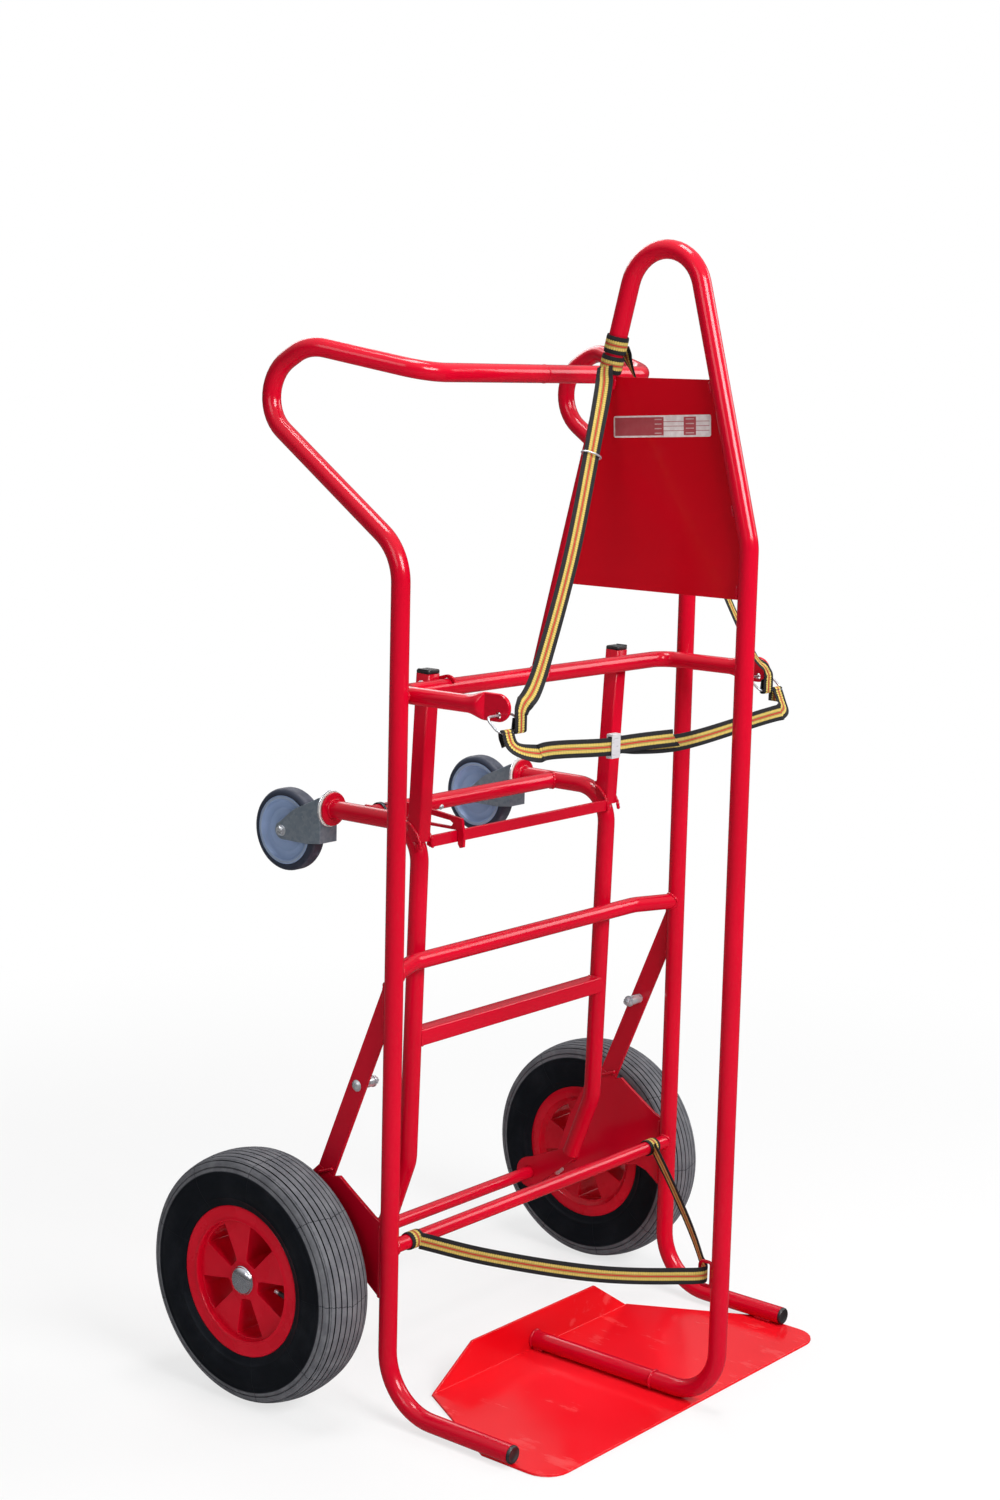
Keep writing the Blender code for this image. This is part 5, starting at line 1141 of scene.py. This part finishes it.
left_waist = ring_leave(-1) + [(0.08 - outer_x, waist_y - 0.006, buckle_z + 0.006, 0, 0, 1),
    (buckle_x - sleeve_half - 0.006, buckle_y - layer, buckle_z, 0, 0, 1),
    (buckle_x + sleeve_half + 0.006, buckle_y - layer, buckle_z, 0, 0, 1),
    (buckle_x + 0.06, buckle_y - layer - 0.003, buckle_z, 0, 0, 1),
    (buckle_x + 0.135, buckle_y - layer - 0.006, buckle_z - 0.002, 0, 0, 1)]
right_waist = [(buckle_x - sleeve_half * 0.6, buckle_y + layer, buckle_z, 0, 0, 1),
    (buckle_x + sleeve_half + 0.006, buckle_y + layer, buckle_z, 0, 0, 1),
    (buckle_x + 0.06, buckle_y + layer + 0.001, buckle_z - 0.006, 0, 0, 1),
    (0.062 * outer_x, buckle_y + layer, buckle_z - 0.012, 0, 0, 1),
    (outer_x - 0.095, waist_y - 0.006, buckle_z + 0.002, 0, 0, 1)] + list(reversed(ring_leave(1)))
for side, label, knots, slant in ((-1, "left", left_waist, -0.026), (1, "right", right_waist, 0.0)):
    piece = woven("waist_strap_%s_woven" % label, rows_through(knots), "waist_strap_" + label, slant=slant)
    knot = Vector(ring_leave(side)[0][:3])
    "ring_" + label
    knot + Vector((-side * 0.1, -0.03, -0.03))
    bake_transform(piece)
    flap = [(0.0012 * k, 0.0014 - 0.0012 * k, -0.006 * k, 0.12 * k) for k in (1, 2, 3)]
    woven("waist_strap_%s_turn" % label, ring_turn(side, outer_x, angles(11, -20, 180), flap),
        body="ring_" + label)


pressing = Finish("sleeve_steel", "zinc")
brush = pressing.noise(300.0, 3.0, 0.6, (0.1, 1.0, 1.0))
sleeve = pressing.coat(Base_Color=pressing.mix(brush, (0.66, 0.68, 0.72), (0.82, 0.83, 0.85)), Metallic=0.35,
    Roughness=0.22 + brush * 0.14)
softened("buckle", sleeve, "trolley_frame", 0.0004)

# Shoulder straps.
# Each rises from the ring to a small wire ring beside the bow, and ends in a sewn loop round the bow's rear
# leg.
loop_in = TUBE_R + 0.0008
lean = math.atan((HOOP_Y + 0.1814) / (1.851 - HOOP_Z))
leg_axis = Vector((0, -math.sin(lean), math.cos(lean)))
for side, label, band_z in ((-1, "left", 1.505), (1, "right", 1.5325)):
    leg_c = Vector((0, rear_leg(band_z), band_z))
    low = Vector((inner_x, bar.y - 0.002, bar.z + seat_off))
    high = Vector((loop_in + BAND_T / 2, leg_c.y, band_z - 0.004))
    knots = [(side * low.x, bar.y - seat_off, bar.z, side, 0, 0),
        (side * low.x, bar.y - seat_off, bar.z + 0.012, side, 0, 0),
        (side * (low.x - 0.004), low.y, low.z + 0.028, side, 0.1, -0.2)]
    for share, lean_x, lean_z in ((0.2, 0.8, -0.55), (0.5, 0.8, -0.55), (0.84, 0.7, -0.6)):
        drop = 4 * share * (1 - share)
        spot = low.lerp(high, share)
        knots.append((side * spot.x, spot.y - 0.012 * drop, spot.z - 0.025 * drop, side * lean_x, 0.05,
            lean_z))
    knots.append((side * high.x, high.y, high.z, side * 0.12, 0.9, -0.1))
    piece = woven("shoulder_strap_%s_woven" % label, rows_through(knots), "shoulder_strap_" + label)
    knot = Vector(knots[0][:3])
    "ring_" + label
    knot + Vector((-side * 0.02, 0.0, 0.12))
    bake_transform(piece)
    flap = [(0, -0.0006 * k, 0.006 * k, 0) for k in (1, 2, 3)]
    woven("shoulder_strap_%s_turn" % label, ring_turn(side, low.x, angles(10, 20, 180), flap),
        body="ring_" + label)
    around = []
    for a in angles(40):
        around.append(
            (leg_c + (Vector((1, 0, 0)) * math.cos(a) + leg_axis.cross(Vector((1, 0, 0))) * math.sin(a))
            * (loop_in + BAND_T / 2), leg_axis))
    woven("neck_loop_%s_woven" % label, around, closed=True, body="trolley_frame")
    (centre, across), (ahead, _) = rows_through(knots)[-18:-16]
    across.normalize()
    along = (ahead - centre).normalized()
    across = (across - along * across.dot(along)).normalized()
    through = along.cross(across)
    link = [centre + across * (0.015 * math.cos(a)) + through * (0.0075 * math.sin(a)) for a in angles(40)]
    pipe("shoulder_link_" + label, link, 0.0014, bright_zinc, "trolley_frame", sides=12, closed=True)

# Lower strap.
# It is sewn round the lower cross tube at each side and passes through the guide on the front upright.
low_start = Vector((0.842 * FRAME_HALF, -(LOW_CROSS_R + GAP + BAND_T / 2), LOW_Z))
guide_mid = Vector((0, guide_y + 0.01, LOW_Z - 0.0504 - 0.0015))
half_run = []
for share in (0.0, 0.2, 0.58, 0.88):
    drop = 4 * share * (1 - share)
    spot = low_start.lerp(guide_mid, share)
    half_run.append((spot.x, spot.y - 0.018 * drop, spot.z - 0.016 * drop, 0, 0, 1))
woven("lower_strap_woven",
    rows_through([(-x, y, z, *w) for x, y, z, *w in half_run] + [(*guide_mid, 0, 0, 1)]
    + list(reversed(half_run))), "lower_strap", body="trolley_frame")
for side, label in BOTH:
    ring = [(
        Vector((side * (low_start.x + 0.004), (LOW_CROSS_R + 0.0013) * math.cos(a),
        LOW_Z + (LOW_CROSS_R + 0.0013) * math.sin(a))), Vector((side, 0, 0))) for a in angles(36)]
    woven("lower_strap_loop_" + label, ring, closed=True, body="trolley_frame")
